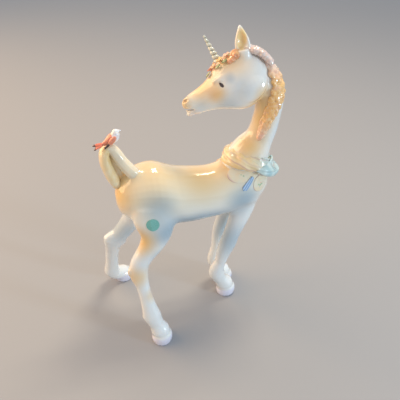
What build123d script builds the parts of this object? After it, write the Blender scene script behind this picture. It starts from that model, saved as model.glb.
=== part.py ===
from build123d import *
import math
import os

# A glazed porcelain foal with a horn, standing and looking back over its left
# shoulder. X runs forward along the body, Y to the foal's left, Z up, and the
# four soles stand on Z = 0. Places written as shares follow the named lengths.

# Body
torso_length = 122.0
torso_depth = 50.0
torso_width = 44.0
torso_middle = 2.8
barrel_height = 120.5
wall = 3.5
vent_diameter = 4.0

# Legs
foreleg_girth = 18.0
hind_leg_girth = 20.0

# Neck and head
neck_length = 84.0
neck_girth = 24.0
head_length = 60.0
head_depth = 40.0
head_width = 25.0
head_turn = 167.0
head_dip = 27.0
head_roll = 20.0

# Ears, horn and the hair on the brow
ear_length = 17.0
ear_width = 9.5
ear_wall = 1.3
horn_length = 19.4
horn_diameter = 5.2
horn_tip_diameter = 1.4
horn_turns = 1.6
forelock_length = 11.0
mane_width = 14.0
mane_thickness = 4.2

# Garland on the brow
flower_diameter = 5.2
flower_thickness = 1.8
leaf_length = 4.6
leaf_thickness = 0.9

# Collar, bow and lobes at the base of the neck
collar_length = 43.0
collar_width = 33.0
collar_tilt = 24.0
band_thickness = 9.5
bow_depth = 13.0
ribbon_length = 15.0
ribbon_width = 6.5
ribbon_thickness = 1.2
lobe_diameter = 25.0
chest_lobe_diameter = 15.0
lobe_thickness = 1.6

# Tail and the bird on it
tail_height = 36.0
tail_girth = 10.5
bird_length = 23.0
bird_girth = 8.6
wing_length = 9.2
wing_thickness = 1.5

# Paper dot on the thigh
dot_diameter = 9.6
dot_thickness = 0.25

# Rows: place along the length, height of the middle, half width, half depth
torso_shares = (
    (-0.500, 0.14, 0.08, 0.10),
    (-0.480, 0.14, 0.22, 0.25),
    (-0.430, 0.15, 0.36, 0.37),
    (-0.350, 0.16, 0.45, 0.46),
    (-0.250, 0.13, 0.50, 0.51),
    (-0.130, 0.03, 0.49, 0.48),
    (0.000, -0.015, 0.47, 0.455),
    (0.120, -0.015, 0.46, 0.43),
    (0.220, 0.020, 0.465, 0.46),
    (0.300, 0.050, 0.45, 0.47),
    (0.380, 0.070, 0.39, 0.42),
    (0.450, 0.080, 0.29, 0.30),
    (0.490, 0.080, 0.17, 0.17),
    (0.505, 0.080, 0.06, 0.06),
)

# Where the vent is along the body, and where the neck and the feet stand:
# shares of the body's length forwards and of its width to the left
vent_place_share = 0.033
neck_place_share = 0.320
right_fore_foot_shares = (0.254, -0.136)
left_fore_foot_shares = (0.283, 0.239)
right_hind_foot_shares = (-0.328, -0.916)
left_hind_foot_shares = (-0.492, 0.916)

# Rows: forward, outward, height of the middle, half depth, half width.
# Places are shares of the leg's height, half sizes are shares of its girth.
right_foreleg_shares = (
    (0.000, 0.000, 0.000, 0.50, 0.46),
    (0.000, 0.000, 0.048, 0.52, 0.47),
    (-0.012, 0.000, 0.095, 0.47, 0.42),
    (-0.052, 0.000, 0.160, 0.36, 0.33),
    (-0.083, 0.004, 0.230, 0.42, 0.34),
    (-0.086, 0.008, 0.290, 0.37, 0.31),
    (-0.062, 0.012, 0.365, 0.29, 0.27),
    (-0.044, 0.016, 0.460, 0.38, 0.31),
    (-0.016, 0.016, 0.540, 0.43, 0.35),
    (0.002, 0.016, 0.610, 0.42, 0.33),
    (0.030, 0.016, 0.700, 0.46, 0.35),
    (0.060, 0.016, 0.800, 0.54, 0.39),
    (0.082, 0.012, 0.900, 0.60, 0.40),
    (0.090, 0.000, 1.000, 0.55, 0.36),
)
left_foreleg_shares = (
    (0.000, 0.000, 0.000, 0.50, 0.46),
    (0.000, 0.000, 0.048, 0.50, 0.47),
    (-0.016, 0.000, 0.095, 0.45, 0.42),
    (-0.054, 0.000, 0.155, 0.35, 0.33),
    (-0.078, 0.000, 0.225, 0.41, 0.34),
    (-0.080, 0.000, 0.290, 0.37, 0.31),
    (-0.071, 0.000, 0.365, 0.30, 0.28),
    (-0.058, 0.004, 0.460, 0.36, 0.31),
    (-0.046, 0.004, 0.540, 0.42, 0.34),
    (-0.030, 0.004, 0.610, 0.42, 0.33),
    (-0.010, 0.004, 0.700, 0.46, 0.35),
    (0.012, 0.004, 0.800, 0.54, 0.39),
    (0.028, 0.000, 0.900, 0.60, 0.40),
    (0.036, 0.000, 1.000, 0.55, 0.36),
)
right_hind_leg_shares = (
    (0.000, 0.000, 0.000, 0.43, 0.41),
    (0.000, 0.000, 0.048, 0.45, 0.42),
    (-0.008, -0.008, 0.095, 0.41, 0.38),
    (-0.030, -0.022, 0.155, 0.32, 0.30),
    (-0.054, -0.040, 0.230, 0.38, 0.32),
    (-0.064, -0.056, 0.290, 0.33, 0.29),
    (-0.077, -0.084, 0.380, 0.27, 0.26),
    (-0.090, -0.116, 0.480, 0.28, 0.26),
    (-0.104, -0.146, 0.562, 0.39, 0.30),
    (-0.084, -0.162, 0.640, 0.38, 0.33),
    (-0.036, -0.170, 0.712, 0.41, 0.36),
    (0.014, -0.178, 0.785, 0.53, 0.41),
    (0.038, -0.190, 0.860, 0.68, 0.47),
    (0.034, -0.206, 0.950, 0.80, 0.50),
    (0.030, -0.226, 1.050, 0.78, 0.46),
)
left_hind_leg_shares = (
    (0.000, 0.000, 0.000, 0.43, 0.41),
    (0.000, 0.000, 0.040, 0.44, 0.42),
    (-0.030, -0.014, 0.070, 0.35, 0.36),
    (-0.074, -0.036, 0.104, 0.31, 0.32),
    (-0.090, -0.048, 0.150, 0.36, 0.33),
    (-0.084, -0.062, 0.222, 0.32, 0.30),
    (-0.077, -0.083, 0.308, 0.30, 0.28),
    (-0.072, -0.104, 0.381, 0.30, 0.27),
    (-0.062, -0.122, 0.450, 0.33, 0.28),
    (-0.056, -0.138, 0.505, 0.37, 0.30),
    (-0.036, -0.156, 0.565, 0.53, 0.32),
    (0.000, -0.167, 0.612, 0.40, 0.34),
    (0.030, -0.178, 0.658, 0.39, 0.36),
    (0.077, -0.195, 0.736, 0.43, 0.40),
    (0.114, -0.212, 0.804, 0.52, 0.44),
    (0.145, -0.218, 0.900, 0.70, 0.48),
    (0.160, -0.230, 1.020, 0.76, 0.46),
)

# Forward, outward, up from the right hind foot, as on a leg: the paper dot
dot_place_shares = (0.010, -0.200, 0.965)

# Rows: forward, left, up, half depth, half width, from the neck's root
neck_shares = (
    (0.000, 0.000, 0.000, 0.79, 0.63),
    (0.036, 0.000, 0.115, 0.74, 0.62),
    (0.080, 0.000, 0.227, 0.64, 0.59),
    (0.142, 0.000, 0.337, 0.47, 0.46),
    (0.171, -0.006, 0.432, 0.435, 0.43),
    (0.184, -0.010, 0.518, 0.425, 0.42),
    (0.193, -0.012, 0.592, 0.415, 0.415),
    (0.196, -0.012, 0.680, 0.43, 0.42),
    (0.179, -0.006, 0.775, 0.46, 0.43),
    (0.120, 0.006, 0.860, 0.48, 0.44),
    (0.036, 0.024, 0.920, 0.46, 0.42),
)
head_centre_shares = (-0.071, 0.036, 0.902)

# Rows: towards the nose, up, half depth, half width, in the head's own frame
head_shares = (
    (-0.31, -0.02, 0.17, 0.20),
    (-0.25, -0.02, 0.32, 0.36),
    (-0.14, -0.01, 0.44, 0.45),
    (0.00, -0.03, 0.49, 0.49),
    (0.12, -0.03, 0.47, 0.48),
    (0.25, -0.04, 0.37, 0.41),
    (0.38, -0.05, 0.27, 0.31),
    (0.50, -0.05, 0.22, 0.26),
    (0.62, -0.05, 0.19, 0.25),
    (0.69, -0.03, 0.13, 0.20),
    (0.735, -0.01, 0.06, 0.11),
)

# Rows: along the ear, half width, half thickness
ear_shares = (
    (-0.15, 0.42, 0.34),
    (0.15, 0.50, 0.36),
    (0.45, 0.46, 0.30),
    (0.75, 0.27, 0.19),
    (1.00, 0.05, 0.05),
)

# Towards the nose, outward, up: where the ear starts and where it ends
ear_root_shares = (-0.15, 0.28, 0.36)
ear_tip_shares = (-0.215, 0.36, 0.74)

# Towards the nose and up: where the horn stands; then how it leans and is wound
horn_place_shares = (0.15, 0.40)
horn_lean_share = 0.08
horn_core_share = 0.80
horn_ridge_share = 0.16

# Rows: towards the nose, left, up, half width, half thickness
forelock_shares = (
    (-0.13, 0.18, 0.37, 0.15, 0.12),
    (-0.08, 0.27, 0.39, 0.29, 0.24),
    (-0.02, 0.32, 0.37, 0.30, 0.24),
    (0.05, 0.35, 0.32, 0.14, 0.12),
)

# Rows: place along the neck, angle round it from the near side towards the chest
mane_share_rows = (
    (0.34, -34.0, 0.60),
    (0.44, -30.0, 0.78),
    (0.54, -24.0, 0.90),
    (0.64, -10.0, 1.00),
    (0.74, 10.0, 1.00),
    (0.84, 34.0, 1.00),
    (0.93, 58.0, 0.90),
    (1.00, 78.0, 0.75),
)

# Rows along one lump of mane: place, lift, swell
mane_lump_shares = (
    (-0.9, -0.30, 0.45),
    (-0.4, 0.12, 0.90),
    (0.3, 0.16, 1.00),
    (0.9, -0.20, 0.50),
)
mane_step_share = 0.080
mane_rise_share = 0.9

# Rows of the last lump, on the poll: towards the nose, left, up, half width, half thickness
poll_lump_shares = (
    (-0.315, 0.22, 0.16, 0.20, 0.50),
    (-0.275, 0.24, 0.27, 0.40, 0.80),
    (-0.225, 0.22, 0.34, 0.42, 0.80),
    (-0.170, 0.14, 0.37, 0.22, 0.45),
)

# Rows: towards the nose, left, up
flower_shares = (
    (0.265, 0.02, 0.355),
    (0.215, 0.20, 0.370),
    (0.125, 0.26, 0.420),
    (0.035, 0.22, 0.440),
    (0.190, -0.20, 0.400),
)

# Rows of one flower: height, spread; then its round and how far its petals wave
flower_rise_shares = (
    (-0.6, 0.55),
    (0.5, 1.00),
)
flower_round_share = 0.86
flower_wave_share = 0.14

# Rows: towards the nose, left, up
leaf_shares = (
    (0.310, 0.16, 0.290),
    (0.170, 0.34, 0.340),
    (0.080, 0.36, 0.370),
    (-0.015, 0.30, 0.420),
)
leaf_outline_shares = (
    (-0.50, 0.00),
    (-0.20, 0.24),
    (0.15, 0.20),
    (0.50, 0.00),
    (0.15, -0.20),
    (-0.20, -0.24),
)
brow_focus_share = 0.6

# Forward, left, up from the neck's root: the middle of the collar
collar_centre_shares = (0.080, 0.0, 0.12)
band_shares = (0.34, 0.50)

# Rows: angle round the collar, outward, half depth, half thickness
bow_shares = (
    (8.0, 0.20, 0.22, 0.16),
    (18.0, 0.24, 0.40, 0.22),
    (36.0, 0.26, 0.50, 0.24),
    (54.0, 0.22, 0.44, 0.22),
    (68.0, 0.10, 0.20, 0.14),
)
bow_drop_share = 0.12

# Rows of the knot: height, spread
knot_shares = (
    (-0.40, 0.13),
    (0.00, 0.26),
    (0.40, 0.13),
)
knot_lift_share = 0.30

# Along, outward, up on the body; the ways are those that the pieces face or run
lobe_place_shares = (0.262, -0.32, 0.49)
lobe_way_shares = (0.0, -0.73, 0.68)
chest_lobe_place_shares = (0.395, -0.36, 0.16)
chest_lobe_way_shares = (0.5, -0.84, 0.2)
ribbon_place_shares = (0.352, -0.42, 0.38)
ribbon_way_shares = (-0.70, 0.0, -0.75)
ribbon_neck_share = 0.32
tail_root_shares = (-0.367, 0.0, 0.50)

# Rows: forward, left, up, half depth, half width, from the tail's root
tail_strand_shares = (
    (0.08, 0.00, -0.16, 0.40, 0.42),
    (-0.04, 0.00, 0.07, 0.40, 0.42),
    (-0.16, 0.01, 0.22, 0.39, 0.42),
    (-0.25, 0.02, 0.38, 0.39, 0.42),
    (-0.32, 0.03, 0.53, 0.39, 0.42),
    (-0.39, 0.04, 0.64, 0.36, 0.40),
    (-0.47, 0.05, 0.67, 0.26, 0.32),
)
tail_lock_shares = (
    (-0.36, 0.06, 0.66, 0.20, 0.30),
    (-0.46, 0.07, 0.65, 0.33, 0.46),
    (-0.535, 0.07, 0.575, 0.35, 0.54),
    (-0.555, 0.06, 0.46, 0.37, 0.58),
    (-0.54, 0.05, 0.32, 0.40, 0.60),
    (-0.50, 0.04, 0.17, 0.42, 0.60),
    (-0.45, 0.02, 0.01, 0.42, 0.56),
    (-0.37, 0.00, -0.18, 0.36, 0.44),
)

# Forward, left, up from the tail's root: where the bird stands
bird_place_shares = (-0.35, 0.02, 0.70)

# Rows: towards the beak, left, up, from the bird's feet
bird_tail_root_shares = (-0.27, 0.0, 0.115)
bird_tail_tip_shares = (-0.56, 0.0, 0.03)
wing_root_shares = (0.05, 0.15, 0.37)
wing_way_shares = (-0.65, -0.08, -0.75)

# Rows: along the tail, half width, half thickness
bird_tail_shares = (
    (0.0, 0.12, 0.10),
    (0.6, 0.24, 0.10),
    (1.0, 0.34, 0.06),
)

# Rows: along the wing, half depth
wing_shares = (
    (-0.05, 0.14),
    (0.25, 0.34),
    (0.65, 0.30),
    (1.00, 0.06),
)

# Rows: towards the beak, up, half depth, half width, from the bird's feet
bird_shares = (
    (-0.317, 0.113, 0.14, 0.12),
    (-0.187, 0.178, 0.27, 0.25),
    (-0.057, 0.257, 0.40, 0.38),
    (0.035, 0.317, 0.42, 0.40),
    (0.087, 0.404, 0.34, 0.32),
    (0.117, 0.465, 0.30, 0.28),
    (0.174, 0.491, 0.14, 0.13),
    (0.257, 0.504, 0.03, 0.03),
)


def eased(rows, steps=2):
    """The rows of a table with more rows between them, on a smooth curve."""
    fine = []
    for index in range(len(rows) - 1):
        before = rows[max(index - 1, 0)]
        here = rows[index]
        there = rows[index + 1]
        after = rows[min(index + 2, len(rows) - 1)]
        for step in range(steps):
            t = step / steps
            row = []
            for a, b, c, d in zip(before, here, there, after):
                bend = (2 * a - 5 * b + 4 * c - d) * t + (3 * b - a - 3 * c + d) * t * t
                row.append(b + t * ((c - a) + bend) / 2)
            fine.append(tuple(row))
    fine.append(rows[-1])
    return fine


def outline(centre, facing, upward, half_width, half_height, sides):
    """The corners of an ellipse of straight sides, square to facing."""
    facing = facing.normalized()
    across = upward.cross(facing).normalized()
    upright = facing.cross(across)
    corners = []
    for corner in range(sides):
        angle = math.tau * (corner + 0.5) / sides
        sideways = across * (half_width * math.cos(angle))
        corners.append(centre + sideways + upright * (half_height * math.sin(angle)))
    return corners


def flat(*corners):
    return Face(Wire.make_polygon(corners))


def skin_over(rings):
    """A closed solid of small flat faces, from each ring of corners to the next."""
    faces = [flat(*rings[0]), flat(*rings[-1])]
    for low, high in zip(rings, rings[1:]):
        for corner in range(len(low)):
            after = (corner + 1) % len(low)
            faces.append(flat(low[corner], low[after], high[after]))
            faces.append(flat(low[corner], high[after], high[corner]))
    return Solid(Shell(faces))


def directions(places, first=None, last=None):
    """The way the line through the places runs at each of them."""
    ways = []
    for index in range(len(places)):
        before = places[max(index - 1, 0)]
        after = places[min(index + 1, len(places) - 1)]
        ways.append((after - before).normalized())
    ways[0] = first or ways[0]
    ways[-1] = last or ways[-1]
    return ways


def limb(places, halves, upward, sides, first=None, last=None):
    """A solid through ellipses at the places, square to their line."""
    ways = directions(places, first, last)
    rings = []
    for place, way, (half_width, half_height) in zip(places, ways, halves):
        rings.append(outline(place, way, upward, half_width, half_height, sides))
    return skin_over(rings)


def cut(solid, *others):
    """The solid without the pieces that it seats on."""
    for other in others:
        solid = solid - other
    return solid


def largest(shape):
    """The one main solid of a cut shape."""
    return max(shape.solids(), key=lambda solid: solid.volume)


def make_torso_skin(extra=0.0):
    """The outside of the body, or a like form that stands off it by extra."""
    rings = []
    for along, rise, wide, deep in eased(torso_shares):
        place = Vector(
            torso_middle + along * torso_length,
            0,
            barrel_height + rise * torso_depth,
        )
        half_width = wide * torso_width + extra
        half_height = deep * torso_depth + extra
        rings.append(
            outline(place, Vector(1, 0, 0), Vector(0, 0, 1), half_width, half_height, 20)
        )
    return skin_over(rings)


def make_torso(skin):
    """The hollow casting of the body, with its kiln vent under the belly."""
    rings = []
    for along, rise, wide, deep in torso_shares[2:-2:2]:
        place = Vector(
            torso_middle + along * torso_length,
            0,
            barrel_height + rise * torso_depth,
        )
        half_width = wide * torso_width - wall
        half_height = deep * torso_depth - wall
        rings.append(
            outline(place, Vector(1, 0, 0), Vector(0, 0, 1), half_width, half_height, 8)
        )
    hollow = skin_over(rings)
    vent_place = torso_middle + vent_place_share * torso_length
    vent = Pos(vent_place, 0, barrel_height - torso_depth) * Cylinder(
        vent_diameter / 2, torso_depth, align=(Align.CENTER, Align.CENTER, Align.MIN)
    )
    return cut(skin, hollow, vent)


def foot_place(foot_shares):
    along, out = foot_shares
    return torso_middle + along * torso_length, out * torso_width


def make_leg(foot_shares, shares, girth):
    """One leg from its flat sole to its top inside the body."""
    foot_x, foot_y = foot_place(foot_shares)
    places = []
    halves = []
    for forward, outward, rise, deep, wide in eased(shares):
        side = math.copysign(1, foot_y)
        places.append(
            Vector(
                foot_x + forward * barrel_height,
                foot_y + side * outward * barrel_height,
                rise * barrel_height,
            )
        )
        halves.append((wide * girth, deep * girth))
    return limb(places, halves, Vector(1, 0, 0), 12, first=Vector(0, 0, 1))


def neck_root():
    along = torso_middle + neck_place_share * torso_length
    return Vector(along, 0, barrel_height + torso_depth / 4)


def neck_places():
    places = []
    for forward, left, up, deep, wide in eased(neck_shares):
        places.append(neck_root() + Vector(forward, left, up) * neck_length)
    return places


def make_neck():
    halves = []
    for _, _, _, deep, wide in eased(neck_shares):
        halves.append((wide * neck_girth, deep * neck_girth))
    return limb(neck_places(), halves, Vector(1, 0, 0), 14)


def on_neck(share, angle, lift=0.0):
    """A point of the neck's surface and the way out of it there."""
    places = neck_places()
    ways = directions(places)
    step = share * (len(places) - 1)
    low = min(int(step), len(places) - 2)
    part = step - low
    place = places[low] * (1 - part) + places[low + 1] * part
    way = (ways[low] * (1 - part) + ways[low + 1] * part).normalized()
    rows = eased(neck_shares)
    deep = rows[low][3] * (1 - part) + rows[low + 1][3] * part
    wide = rows[low][4] * (1 - part) + rows[low + 1][4] * part
    side = Vector(1, 0, 0).cross(way).normalized()
    chest = way.cross(side)
    turn = math.radians(angle)
    out = (chest * math.sin(turn) + side * math.cos(turn)).normalized()
    reach = neck_girth / math.hypot(math.cos(turn) / wide, math.sin(turn) / deep)
    return place + out * (reach + lift), out, way


def head_axes():
    """The head's own ways: towards the nose, to its left, and up."""
    turn, dip, roll = (math.radians(angle) for angle in (head_turn, head_dip, head_roll))
    level = math.cos(dip)
    nose = Vector(level * math.cos(turn), level * math.sin(turn), -math.sin(dip))
    level_left = Vector(0, 0, 1).cross(nose).normalized()
    level_up = nose.cross(level_left)
    left = level_left * math.cos(roll) + level_up * math.sin(roll)
    return nose, left, nose.cross(left)


def on_head(forward, left, up):
    """A place given in the head's own lengths."""
    nose, side, upward = head_axes()
    centre = neck_root() + Vector(*head_centre_shares) * neck_length
    return centre + nose * forward + side * left + upward * up


def make_head():
    nose, side, upward = head_axes()
    rings = []
    for forward, up, deep, wide in eased(head_shares):
        place = on_head(forward * head_length, 0, up * head_depth)
        rings.append(outline(place, nose, upward, wide * head_width, deep * head_depth, 16))
    return skin_over(rings)


def make_ear(side):
    """A cupped leaf of an ear, open to its own side; side is 1 for the left ear."""
    nose, left, upward = head_axes()
    forward, out, up = ear_root_shares
    root = on_head(forward * head_length, side * out * head_width, up * head_depth)
    forward, out, up = ear_tip_shares
    tip = on_head(forward * head_length, side * out * head_width, up * head_depth)
    way = (tip - root).normalized()
    open_way = left * side
    shell = []
    cup = []
    for along, wide, thick in eased(ear_shares):
        place = root + way * (along * ear_length)
        half_width = wide * ear_width
        half_thickness = thick * ear_width
        shell.append(outline(place, way, open_way, half_width, half_thickness, 10))
        middle = place + open_way * (2 * ear_wall)
        inner = max(half_width - ear_wall, ear_wall / 8)
        cup.append(outline(middle, way, open_way, inner, half_thickness, 10))
    return cut(skin_over(shell), skin_over(cup[1:]))


def make_horn():
    """A tapered horn with one ridge winding round it."""
    nose, left, upward = head_axes()
    forward, up = horn_place_shares
    root = on_head(forward * head_length, 0, up * head_depth)
    way = (upward + nose * horn_lean_share).normalized()
    rings = []
    steps = 10
    for step in range(steps + 1):
        share = step / steps
        radius = (horn_diameter + (horn_tip_diameter - horn_diameter) * share) / 2
        turn = math.tau * horn_turns * share
        across = left * math.cos(turn) + nose * math.sin(turn)
        place = root + way * (share * horn_length) + across * (radius * horn_ridge_share)
        rings.append(outline(place, way, across, radius * horn_core_share, radius, 6))
    return skin_over(rings)


def make_forelock():
    nose, left, upward = head_axes()
    places = []
    halves = []
    for forward, out, up, wide, thick in eased(forelock_shares):
        places.append(on_head(forward * head_length, out * head_width, up * head_depth))
        halves.append((wide * forelock_length, thick * forelock_length))
    return limb(places, halves, upward, 8)


def make_mane_lock(share, angle, size):
    """One lump of the short mane, lying along the crest of the neck."""
    places = []
    halves = []
    for part, lift, swell in mane_lump_shares:
        along = share + part * mane_step_share
        place, out, way = on_neck(along, angle, lift * mane_thickness)
        places.append(place)
        rise = swell * mane_rise_share * mane_thickness
        halves.append((swell * size * mane_width / 2, rise))
    return limb(places, halves, out, 8)


def make_poll_lock():
    """The last lump of the mane, between the ears and the neck."""
    nose, left, upward = head_axes()
    places = []
    halves = []
    for forward, out, up, wide, thick in poll_lump_shares:
        places.append(on_head(forward * head_length, out * head_width, up * head_depth))
        halves.append((wide * mane_width, thick * mane_thickness))
    return limb(places, halves, upward, 8)


def brow_plane(shares):
    forward, out, up = shares
    nose, left, upward = head_axes()
    place = on_head(forward * head_length, out * head_width, up * head_depth)
    middle = on_head(brow_focus_share * forward * head_length, 0, 0)
    return Plane(origin=place, x_dir=nose, z_dir=(place - middle).normalized())


def make_flower(shares):
    """A five-petalled flower that opens outwards from the brow."""
    rings = []
    for height, size in flower_rise_shares:
        corners = []
        rise = height * flower_thickness
        for corner in range(20):
            angle = math.tau * corner / 20
            wave = flower_round_share + flower_wave_share * math.cos(5 * angle)
            radius = size * wave * flower_diameter / 2
            corners.append(Vector(radius * math.cos(angle), radius * math.sin(angle), rise))
        rings.append(corners)
    return brow_plane(shares) * skin_over(rings)


def make_leaf(shares):
    """A pointed leaf, half sunk in the brow."""
    corners = []
    for along, wide in leaf_outline_shares:
        corners.append(Vector(along * leaf_length, wide * leaf_length, 0))
    blade = extrude(flat(*corners), leaf_thickness, dir=(0, 0, 1), both=True)
    return brow_plane(shares) * blade


def on_collar(angle, lift=0.0, drop=0.0):
    """A place on the band's middle line; 0 is the chest and -90 the near side."""
    tilt = math.radians(collar_tilt)
    forward = Vector(math.cos(tilt), 0, -math.sin(tilt))
    down = Vector(-math.sin(tilt), 0, -math.cos(tilt))
    turn = math.radians(angle)
    centre = neck_root() + Vector(*collar_centre_shares) * neck_length
    along = forward * ((collar_length / 2 + lift) * math.cos(turn))
    aside = Vector(0, 1, 0) * ((collar_width / 2 + lift) * math.sin(turn))
    return centre + along + aside + down * drop, down


def make_band():
    """The puffy band round the foot of the neck, in two halves joined to one."""
    half_width, half_height = (share * band_thickness for share in band_shares)
    halves = []
    for start in (-180, 0):
        rings = []
        for step in range(9):
            angle = start + step * 22.5
            place, down = on_collar(angle)
            ahead, _ = on_collar(angle + 1)
            behind, _ = on_collar(angle - 1)
            rings.append(outline(place, ahead - behind, down, half_width, half_height, 8))
        halves.append(skin_over(rings))
    return halves[0] + halves[1]


def make_bow_loop(side):
    places = []
    halves = []
    for angle, out, deep, thick in eased(bow_shares):
        place, down = on_collar(side * angle, out * bow_depth, bow_drop_share * bow_depth)
        places.append(place)
        halves.append((thick * bow_depth, deep * bow_depth))
    return limb(places, halves, down, 8)


def make_bow_knot():
    place, down = on_collar(0, knot_lift_share * bow_depth, bow_drop_share * bow_depth)
    rings = []
    for part, size in knot_shares:
        middle = place - down * (part * bow_depth)
        half = size * bow_depth
        rings.append(outline(middle, down, Vector(1, 0, 0), half, half, 8))
    return skin_over(rings)


def on_torso(shares):
    along, out, rise = shares
    return Vector(
        torso_middle + along * torso_length, out * torso_width, barrel_height + rise * torso_depth
    )


def make_lobe(padded, place_shares, way_shares, diameter, side):
    """A round lobe of the collar cloth that follows the shoulder."""
    plane = Plane(origin=on_torso(place_shares), x_dir=(1, 0, 0), z_dir=way_shares)
    disc = plane * extrude(RegularPolygon(diameter / 2, 20), diameter / 2, both=True)
    lobe = largest(padded & disc)
    return lobe if side < 0 else mirror(lobe, Plane.XZ)


def make_ribbon(padded, side):
    """The flat end of the ribbon that lies on the shoulder."""
    start = on_torso(ribbon_place_shares)
    way = Vector(*ribbon_way_shares).normalized()
    end = start + way * (ribbon_length - ribbon_width / 2)
    facing = Vector(0, -1, 0)
    across = facing.cross(way).normalized()
    corners = [
        start + across * (ribbon_width * ribbon_neck_share),
        end + across * (ribbon_width / 2),
        end + way * (ribbon_width / 2),
        end - across * (ribbon_width / 2),
        start - across * (ribbon_width * ribbon_neck_share),
    ]
    corners = [Vector(corner.X, -torso_width, corner.Z) for corner in corners]
    strip = extrude(flat(*corners), torso_width, dir=(0, 1, 0))
    ribbon = largest(padded & strip)
    return ribbon if side < 0 else mirror(ribbon, Plane.XZ)


def on_tail(forward, left, up):
    return on_torso(tail_root_shares) + Vector(forward, left, up) * tail_height


def make_tail_piece(shares):
    places = []
    halves = []
    for forward, left, up, deep, wide in eased(shares):
        places.append(on_tail(forward, left, up))
        halves.append((deep * tail_girth, wide * tail_girth))
    return limb(places, halves, Vector(0, 1, 0), 10)


def on_bird(forward, left, up):
    return on_tail(*bird_place_shares) + Vector(forward, left, up) * bird_length


def make_bird_body():
    places = []
    halves = []
    for forward, up, deep, wide in eased(bird_shares):
        places.append(on_bird(forward, 0, up))
        halves.append((wide * bird_girth, deep * bird_girth))
    return limb(places, halves, Vector(-1, 0, 1), 8)


def make_bird_tail():
    root = on_bird(*bird_tail_root_shares)
    tip = on_bird(*bird_tail_tip_shares)
    way = (tip - root).normalized()
    rings = []
    for share, wide, thick in bird_tail_shares:
        place = root + (tip - root) * share
        half_width = wide * bird_girth
        half_height = thick * bird_girth
        rings.append(outline(place, way, Vector(0, 0, 1), half_width, half_height, 6))
    return skin_over(rings)


def make_wing(side):
    forward, out, up = wing_root_shares
    root = on_bird(forward, side * out, up)
    backward, inward, downward = wing_way_shares
    way = Vector(backward, side * inward, downward).normalized()
    rings = []
    for share, deep in wing_shares:
        place = root + way * (share * wing_length)
        half_width = deep * bird_girth
        rings.append(outline(place, way, Vector(0, 1, 0), half_width, wing_thickness / 2, 6))
    return skin_over(rings)


def make_dot():
    """A thin paper dot that follows the thigh."""
    wrapped = make_leg(
        right_hind_foot_shares, right_hind_leg_shares, hind_leg_girth + 4 * dot_thickness
    )
    foot_x, foot_y = foot_place(right_hind_foot_shares)
    forward, out, up = dot_place_shares
    place = Vector(
        foot_x + forward * barrel_height, foot_y - out * barrel_height, up * barrel_height
    )
    disc = Plane(origin=place, z_dir=(0, -1, 0)) * extrude(
        RegularPolygon(dot_diameter / 2, 20), hind_leg_girth
    )
    return wrapped & disc


def make_parts():
    parts = {}
    skin = make_torso_skin()
    parts["torso"] = make_torso(skin)
    legs = (
        ("right_foreleg", right_fore_foot_shares, right_foreleg_shares, foreleg_girth),
        ("left_foreleg", left_fore_foot_shares, left_foreleg_shares, foreleg_girth),
        ("right_hind_leg", right_hind_foot_shares, right_hind_leg_shares, hind_leg_girth),
        ("left_hind_leg", left_hind_foot_shares, left_hind_leg_shares, hind_leg_girth),
    )
    for name, foot, shares, girth in legs:
        parts[name] = largest(make_leg(foot, shares, girth) - skin)
    head = make_head()
    neck = make_neck()
    parts["head"] = head
    parts["neck"] = largest(cut(neck, skin, head))
    for name, side in (("left_ear", 1), ("right_ear", -1)):
        parts[name] = largest(make_ear(side) - head)
    horn = largest(make_horn() - head)
    parts["horn"] = horn
    ears = (parts["left_ear"], parts["right_ear"])
    parts["forelock"] = largest(cut(make_forelock(), head, horn, *ears))
    flowers = []
    for number, shares in enumerate(flower_shares, 1):
        flower = largest(cut(make_flower(shares), head, horn, parts["forelock"], *flowers))
        parts[f"garland_flower_{number}"] = flower
        flowers.append(flower)
    for number, shares in enumerate(leaf_shares, 1):
        leaf = largest(cut(make_leaf(shares), head, horn, parts["forelock"], *flowers))
        parts[f"garland_leaf_{number}"] = leaf
    locks = [make_mane_lock(*row) for row in mane_share_rows] + [make_poll_lock()]
    for number, lock in enumerate(locks, 1):
        below = locks[:number - 1][-1:]
        lock = largest(cut(lock, neck, head, parts["forelock"], *ears, *below))
        parts[f"mane_lock_{number}"] = lock
    collar = {"collar_band": make_band(), "bow_knot": make_bow_knot()}
    padded = make_torso_skin(lobe_thickness)
    thinly_padded = make_torso_skin(ribbon_thickness)
    for name, side in (("right", -1), ("left", 1)):
        collar[f"{name}_bow_loop"] = make_bow_loop(side)
        collar[f"{name}_lobe"] = make_lobe(
            padded, lobe_place_shares, lobe_way_shares, lobe_diameter, side
        )
        collar[f"{name}_chest_lobe"] = make_lobe(
            padded, chest_lobe_place_shares, chest_lobe_way_shares, chest_lobe_diameter, side
        )
        collar[f"{name}_ribbon_end"] = make_ribbon(thinly_padded, side)
    seats = [neck, skin]
    for name, piece in collar.items():
        piece = largest(cut(piece, *seats))
        parts[name] = piece
        seats.append(piece)
    strand = make_tail_piece(tail_strand_shares)
    parts["tail_strand"] = largest(strand - skin)
    lock = make_tail_piece(tail_lock_shares)
    parts["tail_lock"] = largest(cut(lock, skin, strand))
    bird = largest(cut(make_bird_body(), strand, lock))
    parts["bird_body"] = bird
    parts["bird_tail"] = largest(cut(make_bird_tail(), bird, lock, strand))
    for name, side in (("right", -1), ("left", 1)):
        wing = largest(cut(make_wing(side), bird, parts["bird_tail"], strand, lock))
        parts[f"bird_{name}_wing"] = wing
    parts["lot_dot"] = largest(cut(make_dot(), parts["right_hind_leg"], skin))
    return parts


os.makedirs("parts", exist_ok=True)
for name, solid in make_parts().items():
    export_step(solid, f"parts/{name}.step")
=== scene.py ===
import math

import bmesh
import bpy
import numpy as np
from mathutils import Matrix, Vector


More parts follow.
